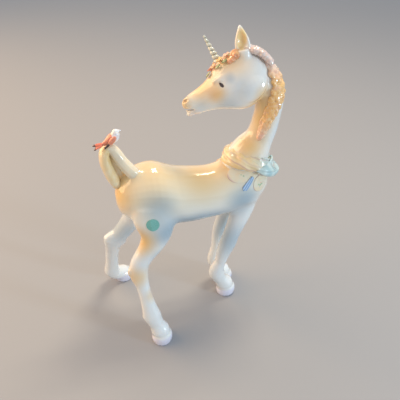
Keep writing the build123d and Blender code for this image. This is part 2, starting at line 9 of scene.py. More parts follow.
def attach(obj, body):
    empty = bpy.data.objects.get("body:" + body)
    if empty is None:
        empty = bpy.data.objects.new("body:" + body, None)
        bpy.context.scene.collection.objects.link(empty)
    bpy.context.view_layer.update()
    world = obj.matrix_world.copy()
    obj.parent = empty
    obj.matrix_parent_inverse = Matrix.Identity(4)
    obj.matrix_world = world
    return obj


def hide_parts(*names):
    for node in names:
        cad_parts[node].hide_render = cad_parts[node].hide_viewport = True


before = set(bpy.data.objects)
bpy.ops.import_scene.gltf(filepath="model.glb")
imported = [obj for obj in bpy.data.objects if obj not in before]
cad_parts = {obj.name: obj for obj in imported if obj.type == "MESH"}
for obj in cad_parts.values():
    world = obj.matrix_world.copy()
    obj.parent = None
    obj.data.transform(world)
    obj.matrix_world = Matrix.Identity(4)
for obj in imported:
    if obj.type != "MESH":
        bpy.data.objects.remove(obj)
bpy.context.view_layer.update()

# A glazed porcelain unicorn that looks back over its left shoulder.
# Sizes and places are in millimetres, and MM brings them to the scene's metres.
MM = 0.001

# Body and legs
torso_length = 122.0
torso_depth = 50.0
torso_width = 44.0
torso_middle = 2.8
barrel_height = 120.5
foreleg_girth = 18.0
hind_leg_girth = 20.0
body_slip_passes = 220
hoof_groove_height = 10.2
hoof_groove_depth = 0.24
sole_level = 0.5
feet = {
    "right_foreleg": (33.8, -6.0),
    "left_foreleg": (37.3, 10.5),
    "right_hind_leg": (-37.2, -40.3),
    "left_hind_leg": (-57.2, 40.3),
}

# Neck and head
neck_length = 84.0
neck_girth = 24.0
neck_root = Vector((torso_middle + 0.32 * torso_length, 0, barrel_height + torso_depth / 4))
head_middle_shares = (-0.071, 0.036, 0.902)
head_length = 60.0
head_depth = 40.0
head_width = 25.0
head_turn = 167
head_dip = 27
head_roll = 20
head_slip_passes = 60

# Ears, horn, mane and the curl before the ear
ear_length = 17.0
ear_width = 9.5
ear_opening = 2.9
ear_wall = 1.25
horn_length = 19.4
horn_width = 5.2
horn_tip_width = 1.3
horn_turns = 6.5
horn_place_shares = (0.15, 0.40)
horn_lean_share = 0.08
mane_width = 14.0
mane_lift = 0.21

# Collar and bow
collar_length = 43.0
collar_width = 33.0
collar_tilt = math.radians(24.0)
collar_middle_shares = (0.080, 0, 0.12)
bow_depth = 13.0
crease_angle = 101

# Lobes and ribbon ends that are laid over the shoulders and the breast
lobe_radius = 12.0
lobe_painted_radius = 11.9
breast_lobe_radius = 8.2
ribbon_inset_reach = 2.0

# Tail and the bird on it
tail_height = 36.0
tail_girth = 10.5
comb_depth = 0.22
tail_root_shares = (-0.367, 0, 0.5)
bird_length = 23.0
bird_girth = 8.6
bird_feet_shares = (-0.35, 0.02, 0.70)

# Grain of the even skin that each piece gets
body_grain = 0.74
head_grain = 0.46
ear_grain = 0.32
mane_grain = 0.48
curl_grain = 0.35
sprig_grain = 0.2
shawl_grain = 0.5
ruffle_grain = 0.42
knot_grain = 0.4
tail_grain = 0.5
bird_grain = 0.25

# Place along the torso, height of the middle, half width, half depth
torso_rows = (
    (-0.500, 0.14, 0.08, 0.10), (-0.480, 0.14, 0.22, 0.25), (-0.430, 0.15, 0.36, 0.37),
    (-0.350, 0.16, 0.45, 0.46), (-0.250, 0.13, 0.50, 0.51), (-0.130, 0.03, 0.49, 0.48),
    (0.000, -0.015, 0.47, 0.455), (0.120, -0.015, 0.46, 0.43), (0.220, 0.020, 0.465, 0.46),
    (0.300, 0.050, 0.45, 0.47), (0.380, 0.070, 0.39, 0.42), (0.450, 0.080, 0.29, 0.30),
    (0.490, 0.080, 0.17, 0.17), (0.505, 0.080, 0.06, 0.06),
)
# Forward and outward from the foot, height, half depth, half width
leg_rows = {
    "right_foreleg": (
        (0.000, 0.000, 0.000, 0.49, 0.45), (0.000, 0.000, 0.045, 0.51, 0.47),
        (-0.008, 0.000, 0.078, 0.44, 0.42), (-0.018, 0.000, 0.105, 0.45, 0.41),
        (-0.052, 0.000, 0.160, 0.36, 0.33), (-0.083, 0.004, 0.230, 0.42, 0.34),
        (-0.086, 0.008, 0.290, 0.37, 0.31), (-0.062, 0.012, 0.365, 0.29, 0.27),
        (-0.044, 0.016, 0.460, 0.38, 0.31), (-0.016, 0.016, 0.540, 0.43, 0.35),
        (0.002, 0.016, 0.610, 0.42, 0.33), (0.030, 0.016, 0.700, 0.46, 0.35),
        (0.060, 0.016, 0.800, 0.54, 0.39), (0.082, 0.012, 0.900, 0.60, 0.40),
        (0.090, 0.000, 1.000, 0.55, 0.36),
    ),
    "left_foreleg": (
        (0.000, 0.000, 0.000, 0.49, 0.45), (0.000, 0.000, 0.045, 0.50, 0.47),
        (-0.010, 0.000, 0.078, 0.43, 0.42), (-0.020, 0.000, 0.105, 0.43, 0.41),
        (-0.054, 0.000, 0.155, 0.35, 0.33), (-0.078, 0.000, 0.225, 0.41, 0.34),
        (-0.080, 0.000, 0.290, 0.37, 0.31), (-0.071, 0.000, 0.365, 0.30, 0.28),
        (-0.058, 0.004, 0.460, 0.36, 0.31), (-0.046, 0.004, 0.540, 0.42, 0.34),
        (-0.030, 0.004, 0.610, 0.42, 0.33), (-0.010, 0.004, 0.700, 0.46, 0.35),
        (0.012, 0.004, 0.800, 0.54, 0.39), (0.028, 0.000, 0.900, 0.60, 0.40),
        (0.036, 0.000, 1.000, 0.55, 0.36),
    ),
    "right_hind_leg": (
        (0.000, 0.000, 0.000, 0.42, 0.41), (0.000, 0.000, 0.045, 0.45, 0.43),
        (-0.004, -0.004, 0.078, 0.39, 0.38), (-0.012, -0.010, 0.105, 0.40, 0.37),
        (-0.030, -0.022, 0.155, 0.32, 0.30), (-0.054, -0.040, 0.230, 0.38, 0.32),
        (-0.064, -0.056, 0.290, 0.33, 0.29), (-0.077, -0.084, 0.380, 0.27, 0.26),
        (-0.090, -0.116, 0.480, 0.28, 0.26), (-0.104, -0.146, 0.562, 0.39, 0.30),
        (-0.084, -0.162, 0.640, 0.38, 0.33), (-0.036, -0.170, 0.712, 0.41, 0.36),
        (0.014, -0.178, 0.785, 0.53, 0.41), (0.038, -0.190, 0.860, 0.68, 0.47),
        (0.034, -0.206, 0.950, 0.80, 0.50), (0.030, -0.226, 1.050, 0.78, 0.46),
    ),
    "left_hind_leg": (
        (0.000, 0.000, 0.000, 0.42, 0.41), (0.000, 0.000, 0.040, 0.44, 0.42),
        (-0.030, -0.014, 0.070, 0.35, 0.36), (-0.074, -0.036, 0.104, 0.31, 0.32),
        (-0.090, -0.048, 0.150, 0.36, 0.33), (-0.084, -0.062, 0.222, 0.32, 0.30),
        (-0.077, -0.083, 0.308, 0.30, 0.28), (-0.072, -0.104, 0.381, 0.30, 0.27),
        (-0.062, -0.122, 0.450, 0.33, 0.28), (-0.056, -0.138, 0.505, 0.37, 0.30),
        (-0.036, -0.156, 0.565, 0.53, 0.32), (0.000, -0.167, 0.612, 0.40, 0.34),
        (0.030, -0.178, 0.658, 0.39, 0.36), (0.077, -0.195, 0.736, 0.43, 0.40),
        (0.114, -0.212, 0.804, 0.52, 0.44), (0.145, -0.218, 0.900, 0.70, 0.48),
        (0.160, -0.230, 1.020, 0.76, 0.46),
    ),
}
# Forward and up from the neck's root, half width, half depth of the shoulder's rise
stub_rows = (
    (-6.0, -16.0, 19.5, 24.5), (-1.0, -8.0, 18.0, 22.0), (2.6, 0.0, 16.6, 20.2), (6.6, 9.6, 14.4, 18.2),
)
# Points of the hocks, backs of two fetlocks and the swelling under the tail: place, half sizes
bone_lumps = (
    ((-56.0, -23.0, 70.5), (2.4, 2.4, 4.0)), ((-68.8, 21.5, 70.5), (2.6, 2.6, 4.0)),
    ((-48.6, -35.2, 28.5), (3.2, 4.2, 4.0)), ((19.6, -5.2, 29.0), (3.2, 4.4, 4.2)),
    ((-41.6, -4.4, 147.6), (5.6, 4.8, 5.4)),
)
vent_place = (6.8, 0, 96)
vent_radii = (2, 2, 10)
# Where slip fills the creases of the body: place, reach
body_creases = (
    ((-30, -18, 104), 34), ((-42, 16, 106), 36), ((44, -8, 103), 30), ((42, 10, 103), 30),
    ((42, 0, 140), 44), ((-41, -4, 148), 13),
)
# Forward, left, up from the neck's root, half depth, half width
neck_rows = (
    (0.000, 0.000, 0.000, 0.79, 0.63), (0.036, 0.000, 0.115, 0.74, 0.62),
    (0.080, 0.000, 0.227, 0.64, 0.59), (0.142, 0.000, 0.337, 0.47, 0.46),
    (0.171, -0.006, 0.432, 0.435, 0.43), (0.184, -0.010, 0.518, 0.425, 0.42),
    (0.193, -0.012, 0.592, 0.415, 0.415), (0.196, -0.012, 0.680, 0.43, 0.42),
    (0.179, -0.006, 0.775, 0.46, 0.43), (0.120, 0.006, 0.860, 0.48, 0.44),
    (0.036, 0.024, 0.920, 0.46, 0.42),
)
# Towards the nose, up, half depth, half width
head_rows = (
    (-0.31, -0.02, 0.17, 0.20), (-0.25, -0.02, 0.32, 0.36), (-0.14, -0.01, 0.44, 0.45),
    (0.00, -0.03, 0.49, 0.49), (0.12, -0.03, 0.47, 0.48), (0.25, -0.04, 0.37, 0.41),
    (0.38, -0.05, 0.27, 0.31), (0.50, -0.05, 0.22, 0.26), (0.62, -0.05, 0.19, 0.25),
    (0.69, -0.03, 0.13, 0.20), (0.735, -0.01, 0.06, 0.11),
)
# Towards the nose, outward, up, then half sizes: jowl, brow, eyeball, nostril's rim, cheek
face_lumps = (
    ((-2, 5.4, -6), (14.5, 7.0, 12)), ((9.6, 8.5, 5.9), (8.4, 2.3, 1.9)),
    ((12.6, 7.7, 1.7), (3.0, 2.8, 3.0)), ((38.5, 4.0, 1.0), (5.0, 2.6, 3.8)),
    ((30, 3.0, -2.0), (10, 3.0, 5.0)),
)
# Towards the nose, outward, up and thickness of the upper lid
lid_rows = (
    (15.0, 9.0, 3.6, 0.3), (14.0, 9.9, 4.2, 0.7), (12.2, 10.3, 4.6, 0.8), (10.6, 10.2, 3.4, 0.8),
    (9.8, 9.9, 1.4, 0.7), (10.0, 9.3, -0.6, 0.3),
)
chin_place = (39.6, 0, -6.6)
chin_radii = (4.9, 3.8, 2.4)
mouth_front = (44.6, 0, -1.9)
mouth_corner = (35.6, 0, -6.0)
mouth_place = (40.6, 0, -3.9)
mouth_radii = (7.8, 9, 0.68)
nostril_place = (40.2, 5.7, 2.6)
nostril_radii = (2.3, 1.6, 0.95)
# Where slip fills the creases of the head, in its own frame, and of the throat: place, reach
ear_root_crease = ((-9.5, 7.5, 15.0), 8)
throat_creases = (((26, -2, 196), 20), ((44, -2, 190), 22))
head_creases = (
    ((10, 9, -6), 13), ((-2, 12, 4), 13), ((6, 12, -12), 12), ((36, 3, -1), 8), ((24, 6, 0), 12),
    ((10, -9, -6), 16), ((-2, -12, 0), 16),
)
# Towards the nose, outward and up, as shares: where the ear starts and ends
ear_root_shares = (-0.15, 0.28, 0.36)
ear_tip_shares = (-0.215, 0.36, 0.74)
# Along the ear, half width, half thickness
ear_rows = (
    (-0.45, 0.40, 0.36), (-0.15, 0.47, 0.38), (0.15, 0.54, 0.38), (0.45, 0.49, 0.31),
    (0.75, 0.28, 0.19), (1.00, 0.06, 0.06),
)
# Place along the neck, angle round it from the near side towards the chest, size
mane_rows = (
    (0.385, -33.0, 0.34), (0.455, -30.0, 0.46), (0.54, -26.0, 0.54), (0.64, -16.0, 0.62),
    (0.74, 0.0, 0.76), (0.84, 28.0, 0.94), (0.93, 57.0, 0.90), (1.00, 78.0, 0.75),
)
# Towards the nose, outward, up: the end of the mane between the ears
crest_rows = (
    (-22.0, 1.0, 1.0), (-20.6, 3.0, 5.0), (-18.8, 3.6, 8.4), (-16.2, 3.8, 11.4), (-13.2, 3.6, 13.8),
    (-10.4, 3.0, 15.2),
)
# Towards the nose, outward, up, half sizes
curl_lumps = (
    ((-3.6, 6.9, 15.2), (4.3, 3.7, 3.5)), ((0.9, 8.3, 13.4), (2.7, 2.5, 2.3)),
    ((-6.6, 5.2, 14.6), (2.4, 2.4, 2.2)),
)
curl_eye = (-3.0, 9.8, 14.6)
# Towards the nose, outward, up: the garland on the brow
flower_shares = (
    (0.265, 0.02, 0.355), (0.215, 0.20, 0.370), (0.125, 0.26, 0.420), (0.035, 0.22, 0.440),
    (0.190, -0.20, 0.400),
)
leaf_shares = ((0.310, 0.16, 0.290), (0.170, 0.34, 0.340), (0.080, 0.36, 0.370), (-0.015, 0.30, 0.420))
# Angle from the chest, how far the shawl is moved out, its place down, half thickness, half height
shawl_rows = (
    (0, -1.6, -5.2, 1.6, 3.8), (45, -1.2, -6.2, 1.7, 4.2), (90, 0.0, -5.0, 2.6, 5.2),
    (135, 0.0, -1.0, 2.8, 6.0), (180, 0.0, 1.4, 2.8, 6.2),
)
# Angle from the chest, outward, half height, half thickness
ruffle_rows = (
    (3.0, 0.03, 0.46, 0.18), (12.0, 0.05, 0.58, 0.22), (28.0, 0.07, 0.61, 0.24), (48.0, 0.10, 0.55, 0.24),
    (68.0, 0.16, 0.42, 0.21), (84.0, 0.20, 0.27, 0.16), (98.0, 0.16, 0.12, 0.10),
)
knot_radii = (3.4, 3.0, 5.4)
# Along, outward and up on the torso, then the way that the piece faces
lobe_shares = (0.262, 0.32, 0.49)
lobe_facing = (0, 0.73, 0.68)
breast_lobe_shares = (0.398, 0.36, 0.19)
breast_lobe_facing = (0.5, 0.84, 0.2)
ribbon_start_shares = (0.352, 0.42, 0.38)
ribbon_way = (-0.70, 0, -0.75)
ribbon_reach = 6.5
# Half of the ribbon end's outline: along, half width
ribbon_outline = ((-6.5, 2.1), (-3, 2.4), (0, 2.8), (3, 3.0), (6, 3.2))
ribbon_point = 8.5
# Forward, left, up from the tail's root, half depth, half width
strand_rows = (
    (0.07, -0.15, -0.08, 0.30, 0.24), (0.02, -0.14, 0.01, 0.40, 0.32),
    (-0.035, -0.125, 0.09, 0.44, 0.38), (-0.085, -0.105, 0.16, 0.45, 0.43),
    (-0.155, -0.06, 0.245, 0.45, 0.43), (-0.25, -0.01, 0.38, 0.42, 0.42),
    (-0.32, 0.02, 0.53, 0.40, 0.42), (-0.39, 0.04, 0.63, 0.37, 0.40), (-0.47, 0.05, 0.66, 0.30, 0.34),
    (-0.54, 0.06, 0.62, 0.22, 0.28),
)
lock_filler_rows = (
    (-0.28, 0.04, -0.10, 0.34, 0.20), (-0.34, 0.06, 0.10, 0.48, 0.20), (-0.39, 0.07, 0.30, 0.50, 0.20),
    (-0.44, 0.09, 0.46, 0.40, 0.18), (-0.46, 0.12, 0.56, 0.24, 0.14),
)
lock_rows = (
    (-0.36, 0.06, 0.66, 0.20, 0.30), (-0.46, 0.07, 0.65, 0.33, 0.46), (-0.535, 0.07, 0.575, 0.35, 0.54),
    (-0.555, 0.06, 0.46, 0.37, 0.58), (-0.54, 0.05, 0.32, 0.40, 0.60), (-0.50, 0.04, 0.17, 0.42, 0.60),
    (-0.45, 0.02, 0.01, 0.42, 0.56), (-0.37, 0.00, -0.18, 0.36, 0.44),
)
# Towards the beak, up, half depth, half width, from the bird's feet
bird_rows = (
    (-0.317, 0.113, 0.14, 0.12), (-0.187, 0.178, 0.27, 0.25), (-0.057, 0.257, 0.40, 0.38),
    (0.035, 0.317, 0.42, 0.40), (0.087, 0.404, 0.34, 0.32), (0.117, 0.465, 0.30, 0.28),
    (0.174, 0.491, 0.14, 0.13), (0.257, 0.504, 0.03, 0.03),
)
bird_tail_root_shares = (-0.26, 0, 0.14)
bird_tail_tip_shares = ((-0.585, 0.02, 0.095), (-0.565, -0.06, 0.005))
tail_feather_radii = (4.3, 1.4, 1.0)
wing_root_shares = (0.05, -0.15, 0.37)
wing_tip_shares = (-0.21, -0.12, 0.07)
wing_radii = (4.0, 1.9, 1.1)
wing_feather_radii = (3.0, 0.8, 0.6)


# Bench tools

def put_down_everything():
    """Nothing is selected and no piece is open for editing."""
    if bpy.context.object and bpy.context.object.mode != "OBJECT":
        bpy.ops.object.mode_set(mode="OBJECT")
    bpy.ops.object.select_all(action="DESELECT")


def pick_up(*pieces):
    """Only these pieces are selected, and the first is the active one."""
    put_down_everything()
    for piece in pieces:
        piece.select_set(True)
    bpy.context.view_layer.objects.active = pieces[0]
    return pieces[0]


def finish_with(piece, kind, **settings):
    """Adds a modifier with these settings and applies it."""
    pick_up(piece)
    modifier = piece.modifiers.new(kind.lower(), kind)
    for key, value in settings.items():
        setattr(modifier, key, value)
    bpy.ops.object.modifier_apply(modifier=modifier.name)
    return piece


def sponge(piece, strokes):
    """A damp sponge takes the sharpness off a surface."""
    return finish_with(piece, "SMOOTH", factor=0.5, iterations=strokes)


def knead_together(name, *pieces):
    """Several lumps of clay become one piece."""
    whole = pick_up(*pieces)
    if len(pieces) > 1:
        bpy.ops.object.join()
    whole.name = name
    return whole


def even_clay(piece, grain, strokes):
    """One even skin over the whole piece, then the sponge."""
    finish_with(piece, "REMESH", mode="VOXEL", voxel_size=grain * MM, use_smooth_shade=True)
    return sponge(piece, strokes)


def carve(piece, tool):
    """Cuts one form out of another and throws the tool away."""
    finish_with(piece, "BOOLEAN", operation="DIFFERENCE", solver="EXACT", object=tool)
    bpy.data.objects.remove(tool)
    return piece


def copied(pattern, name, change):
    """A copy with its own mesh, which the matrix turns and puts in its place."""
    copy = pattern.copy()
    copy.data = pattern.data.copy()
    copy.name = name
    bpy.context.scene.collection.objects.link(copy)
    copy.data.transform(change)
    return copy


def mirrored(pattern, name, plane):
    """A copy on the other side of an upright plane at this Y (mm)."""
    flip = Matrix.Translation((0, 2 * plane * MM, 0)) @ Matrix.Scale(-1, 4, (0, 1, 0))
    copy = pick_up(copied(pattern, name, flip))
    bpy.ops.object.mode_set(mode="EDIT")
    bpy.ops.mesh.select_all(action="SELECT")
    bpy.ops.mesh.normals_make_consistent(inside=False)
    put_down_everything()
    return copy


def points_of(piece):
    """The points of a piece, in metres."""
    flat = np.zeros(len(piece.data.vertices) * 3)
    piece.data.vertices.foreach_get("co", flat)
    return flat.reshape(-1, 3)


def press_points(piece, points):
    """The points of a piece are pressed to new places, in metres."""
    piece.data.vertices.foreach_set("co", np.ascontiguousarray(points).reshape(-1))
    piece.data.update()


def outward(piece):
    """The way out of the surface at each point."""
    flat = np.zeros(len(piece.data.vertices) * 3)
    piece.data.vertex_normals.foreach_get("vector", flat)
    return flat.reshape(-1, 3)


def edges_of(piece):
    """The two ends of each edge."""
    flat = np.zeros(len(piece.data.edges) * 2, dtype=np.int32)
    piece.data.edges.foreach_get("vertices", flat)
    return flat.reshape(-1, 2)


def nearness(points, place, reach):
    """1 at a place (mm) and 0 from its reach outwards, with a soft edge."""
    away = np.linalg.norm(points - np.array(place) * MM, axis=1) / (reach * MM)
    ease = np.clip(1 - away, 0, 1)
    return ease * ease * (3 - 2 * ease)


def fill_creases(piece, places, passes):
    """Wet slip fills the creases near these places and leaves the swellings."""
    core = 1.6
    pull_of_slip = 0.6
    pull_on_swelling = 0.12
    passes_per_look = 8
    points = points_of(piece)
    ends = edges_of(piece)
    count = np.bincount(ends.reshape(-1), minlength=len(points))[:, None]
    where = np.zeros(len(points))
    for place, reach in places:
        where = np.maximum(where, np.clip(core * nearness(points, place, reach), 0, 1))
    normals = outward(piece)
    for stroke in range(passes):
        total = np.zeros_like(points)
        for axis in range(3):
            total[:, axis] = np.bincount(ends[:, 0], points[ends[:, 1], axis], len(points))
            total[:, axis] += np.bincount(ends[:, 1], points[ends[:, 0], axis], len(points))
        pull = total / count - points
        lift = np.sum(pull * normals, axis=1)
        keep = np.where(lift > 0, 1.0, pull_on_swelling) * where * pull_of_slip
        points += pull * keep[:, None]
        if stroke % passes_per_look == passes_per_look - 1:
            press_points(piece, points)
            normals = outward(piece)
    press_points(piece, points)
    return piece


def eased(rows, steps):
    """More rows between the rows, on a smooth curve."""
    fine = []
    for index in range(len(rows) - 1):
        a = np.array(rows[max(index - 1, 0)], float)
        b = np.array(rows[index], float)
        c = np.array(rows[index + 1], float)
        d = np.array(rows[min(index + 2, len(rows) - 1)], float)
        for step in range(steps):
            t = step / steps
            bend = (c - a) + (2 * a - 5 * b + 4 * c - d) * t + (3 * b - a - 3 * c + d) * t * t
            fine.append(b + t * bend / 2)
    fine.append(np.array(rows[-1], float))
    return fine


def ways_along(places, first=None):
    """The way that a line of places runs at each place."""
    ways = []
    for index in range(len(places)):
        before = places[max(index - 1, 0)]
        after = places[min(index + 1, len(places) - 1)]
        ways.append((after - before).normalized())
    if first is not None:
        ways[0] = Vector(first)
    return ways


def axes_to_matrix(first, second, third):
    """The turn that brings X, Y and Z to these three ways."""
    return Matrix((Vector(first), Vector(second), Vector(third))).transposed()


def add_ring(place, way, upright, half_across, half_up, sides):
    """An ellipse of edges, square to a way."""
    way = way.normalized()
    across = Vector(upright).cross(way).normalized()
    up = way.cross(across)
    turn = axes_to_matrix(across, up, way)
    middle = Vector(place) * MM
    bpy.ops.mesh.primitive_circle_add(
        vertices=sides, radius=half_across * MM, fill_type="NOTHING",
        location=middle, rotation=turn.to_euler(),
    )
    bpy.ops.transform.resize(
        value=(1, half_up / half_across, 1), orient_type="LOCAL", orient_matrix_type="LOCAL",
        orient_matrix=turn, center_override=middle,
    )


def cast(name, places, halves, upright, sides, ways=None):
    """A closed form drawn over ellipses, each bridged to the one before it."""
    places = [Vector(place) for place in places]
    ways = ways or ways_along(places)
    uprights = upright if isinstance(upright, list) else [upright] * len(places)
    put_down_everything()
    bpy.ops.object.add(type="MESH")
    piece = bpy.context.object
    bpy.ops.object.mode_set(mode="EDIT")
    for number, (place, way, (across, up)) in enumerate(zip(places, ways, halves)):
        add_ring(place, way, uprights[number], across, up, sides)
        if number == 0:
            continue
        mesh = bmesh.from_edit_mesh(piece.data)
        mesh.verts.ensure_lookup_table()
        for vert in mesh.verts[(number - 1) * sides:(number + 1) * sides]:
            vert.select_set(True)
        mesh.select_flush(True)
        bmesh.update_edit_mesh(piece.data)
        bpy.ops.mesh.bridge_edge_loops()
    bpy.ops.mesh.select_all(action="DESELECT")
    bpy.ops.mesh.select_mode(type="EDGE")
    bpy.ops.mesh.select_non_manifold()
    bpy.ops.mesh.fill_holes(sides=0)
    bpy.ops.mesh.select_all(action="SELECT")
    bpy.ops.mesh.normals_make_consistent(inside=False)
    bpy.ops.mesh.select_mode(type="VERT")
    bpy.ops.object.mode_set(mode="OBJECT")
    piece.name = name
    return piece


def pebble(place, radii, turn=None, rings=14):
    """A rounded lump of clay, pressed to three half sizes."""
    put_down_everything()
    bpy.ops.mesh.primitive_uv_sphere_add(segments=2 * rings, ring_count=rings, radius=1)
    piece = bpy.context.object
    shape = Matrix.Diagonal(Vector([radius * MM for radius in radii] + [1]))
    if turn is not None:
        shape = turn.to_4x4() @ shape
    piece.data.transform(Matrix.Translation(Vector(place) * MM) @ shape)
    return piece


# Where things are on the figurine

def head_ways():
    """Towards the nose, to the head's left (the near side), and up."""
    turn = math.radians(head_turn)
    dip = math.radians(head_dip)
    roll = math.radians(head_roll)
    nose = Vector((math.cos(dip) * math.cos(turn), math.cos(dip) * math.sin(turn), -math.sin(dip)))
    level = Vector((0, 0, 1)).cross(nose).normalized()
    left = level * math.cos(roll) + nose.cross(level) * math.sin(roll)
    return nose, left, nose.cross(left)


nose_way, left_way, up_way = head_ways()
head_middle = neck_root + Vector(head_middle_shares) * neck_length
head_turned = axes_to_matrix(nose_way, left_way, up_way)


def on_head(forward, left, up):
    """A place in the head's own frame."""
    return head_middle + nose_way * forward + left_way * left + up_way * up


def on_head_share(forward, left, up):
    """A place on the head, in shares of its length, width and depth."""
    return on_head(forward * head_length, left * head_width, up * head_depth)


def both_sides(place):
    """The same place (towards the nose, outward, up) on each side of the head."""
    forward, out, up = place
    return [on_head(forward, side * out, up) for side in (1, -1)]


def horn_line():
    """Where the horn stands and which way it points."""
    forward, up = horn_place_shares
    return on_head_share(forward, 0, up), (up_way + nose_way * horn_lean_share).normalized()


def neck_line(rows):
    """The middle of the neck at each of its rows."""
    return [neck_root + Vector(row[:3]) * neck_length for row in rows]


def on_neck(share, angle, lift):
    """A place of the neck's skin, the way out of it, and the way along it."""
    rows = eased(neck_rows, 2)
    places = neck_line(rows)
    ways = ways_along(places)
    step = share * (len(places) - 1)
    low = max(min(int(step), len(places) - 2), 0)
    part = step - low
    place = places[low] * (1 - part) + places[low + 1] * part
    way = (ways[low] * (1 - part) + ways[low + 1] * part).normalized()
    deep = rows[low][3] * (1 - part) + rows[low + 1][3] * part
    wide = rows[low][4] * (1 - part) + rows[low + 1][4] * part
    side = Vector((1, 0, 0)).cross(way).normalized()
    chest = way.cross(side)
    turn = math.radians(angle)
    out = (chest * math.sin(turn) + side * math.cos(turn)).normalized()
    reach = neck_girth / math.hypot(math.cos(turn) / wide, math.sin(turn) / deep)
    return place + out * (reach + lift), out, way


collar_middle = neck_root + Vector(collar_middle_shares) * neck_length
collar_up = Vector((math.sin(collar_tilt), 0, math.cos(collar_tilt)))
collar_ahead = Vector((math.cos(collar_tilt), 0, -math.sin(collar_tilt)))
collar_down = Vector((-math.sin(collar_tilt), 0, -math.cos(collar_tilt)))


def on_collar(angle, lift, drop):
    """A place of the band's middle line; 0 is the chest, -90 the near side."""
    turn = math.radians(angle)
    place = collar_middle + collar_ahead * ((collar_length / 2 + lift) * math.cos(turn))
    return place + Vector((0, 1, 0)) * ((collar_width / 2 + lift) * math.sin(turn)) + collar_down * drop


def collar_height(points):
    """How far each point lies above the middle line of the band."""
    return (points - np.array(collar_middle)) @ np.array(collar_up)


def neck_at(points):
    """The way out from the neck's middle at each point, how far out it is, and the neck's own half size."""
    foot = neck_rows[:5]
    rise = points[:, 2] - neck_root.z
    levels = [row[2] * neck_length for row in foot]
    middle = np.interp(rise, levels, [row[0] * neck_length for row in foot]) + neck_root.x
    deep = np.interp(rise, levels, [row[3] * neck_girth for row in foot])
    wide = np.interp(rise, levels, [row[4] * neck_girth for row in foot])
    spoke = np.stack((points[:, 0] - middle, points[:, 1], np.zeros(len(points))), axis=1)
    reach = np.linalg.norm(spoke, axis=1)
    spoke /= reach[:, None]
    return spoke, reach, 1 / np.hypot(spoke[:, 0] / deep, spoke[:, 1] / wide)


def draw_in(piece, low, high, gap):
    """The upper edge of a cloth form is drawn in until it lies on the neck."""
    loose = 2
    most = 8
    kept_share = 0.25
    points = points_of(piece) / MM
    spoke, reach, half = neck_at(points)
    share = np.clip((collar_height(points) - low) / (high - low), 0, 1)
    share = share * share * (3 - 2 * share)
    target = half + gap + kept_share * np.clip(reach - half - loose, 0, most)
    move = np.minimum(target - reach, 0) * share
    press_points(piece, (points + spoke * move[:, None]) * MM)


def on_torso(along, out, rise):
    """A place on the torso, in shares of its length, width and depth."""
    step = Vector((along * torso_length, out * torso_width, rise * torso_depth))
    return Vector((torso_middle, 0, barrel_height)) + step


tail_root = on_torso(*tail_root_shares)
bird_feet = tail_root + Vector(bird_feet_shares) * tail_height


def on_bird(forward, left, up):
    """A place on the bird, in shares of its length from its feet."""
    return bird_feet + Vector((forward, left, up)) * bird_length


# The castings

def model_leg(name):
    """One leg, drawn up from its hoof through its joints into the body."""
    foot = Vector((*feet[name], 0))
    side = math.copysign(1, foot.y)
    girth = foreleg_girth if "fore" in name else hind_leg_girth
    rows = eased(leg_rows[name], 2)
    places = [foot + Vector((ahead, side * out, up)) * barrel_height for ahead, out, up, _, _ in rows]
    halves = [(wide * girth, deep * girth) for *_, deep, wide in rows]
    return cast(name, places, halves, (1, 0, 0), 20, ways_along(places, (0, 0, 1)))


def model_barrel():
    """The trunk, from the rump to the breast."""
    rows = eased(torso_rows, 3)
    places = [on_torso(along, 0, rise) for along, rise, _, _ in rows]
    halves = [(wide * torso_width, deep * torso_depth) for *_, wide, deep in rows]
    return cast("barrel", places, halves, (0, 0, 1), 32, [Vector((1, 0, 0))] * len(places))


def model_shoulder_rise():
    """The stub that the neck is luted to, under the shawl."""
    places = [neck_root + Vector((forward, 0, up)) for forward, up, _, _ in stub_rows]
    halves = [(wide, deep) for _, _, wide, deep in stub_rows]
    return cast("stub", places, halves, (1, 0, 0), 28, [collar_up] * len(places))


def model_body_and_legs():
    """The trunk and its four legs under one skin, with a vent in the belly and flat soles."""
    barrel = model_barrel()
    stub = model_shoulder_rise()
    bones = [pebble(place, radii) for place, radii in bone_lumps]
    vent = pebble(vent_place, vent_radii)
    body = knead_together("body_and_legs", barrel, stub, *bones, *[model_leg(name) for name in feet])
    even_clay(body, body_grain, 3)
    fill_creases(body, body_creases, body_slip_passes)
    carve(body, vent)
    sponge(body, 3)
    points = points_of(body) / MM
    groove = np.exp(-(points[:, 2] - hoof_groove_height) ** 2)
    points -= outward(body) * (hoof_groove_depth * groove)[:, None]
    points[:, 2] = np.where(points[:, 2] < sole_level, 0, points[:, 2])
    press_points(body, points * MM)
    return body


def model_neck():
    """The neck, from the withers to the poll."""
    rows = eased(neck_rows, 3)
    places = neck_line(rows)
    halves = [(wide * neck_girth, deep * neck_girth) for *_, deep, wide in rows]
    return cast("neck", places, halves, (1, 0, 0), 28)


def model_skull():
    """The head without its features, from the poll to the muzzle."""
    rows = eased(head_rows, 3)
    places = [on_head_share(forward, 0, up) for forward, up, _, _ in rows]
    halves = [(wide * head_width, deep * head_depth) for *_, deep, wide in rows]
    return cast("skull", places, halves, up_way, 28, [nose_way] * len(places))


def model_lid(side):
    """The fold of the upper lid over one eye."""
    places = [on_head(forward, side * out, up) for forward, out, up, _ in lid_rows]
    return cast("lid", places, [(row[3], row[3]) for row in lid_rows], up_way, 10)


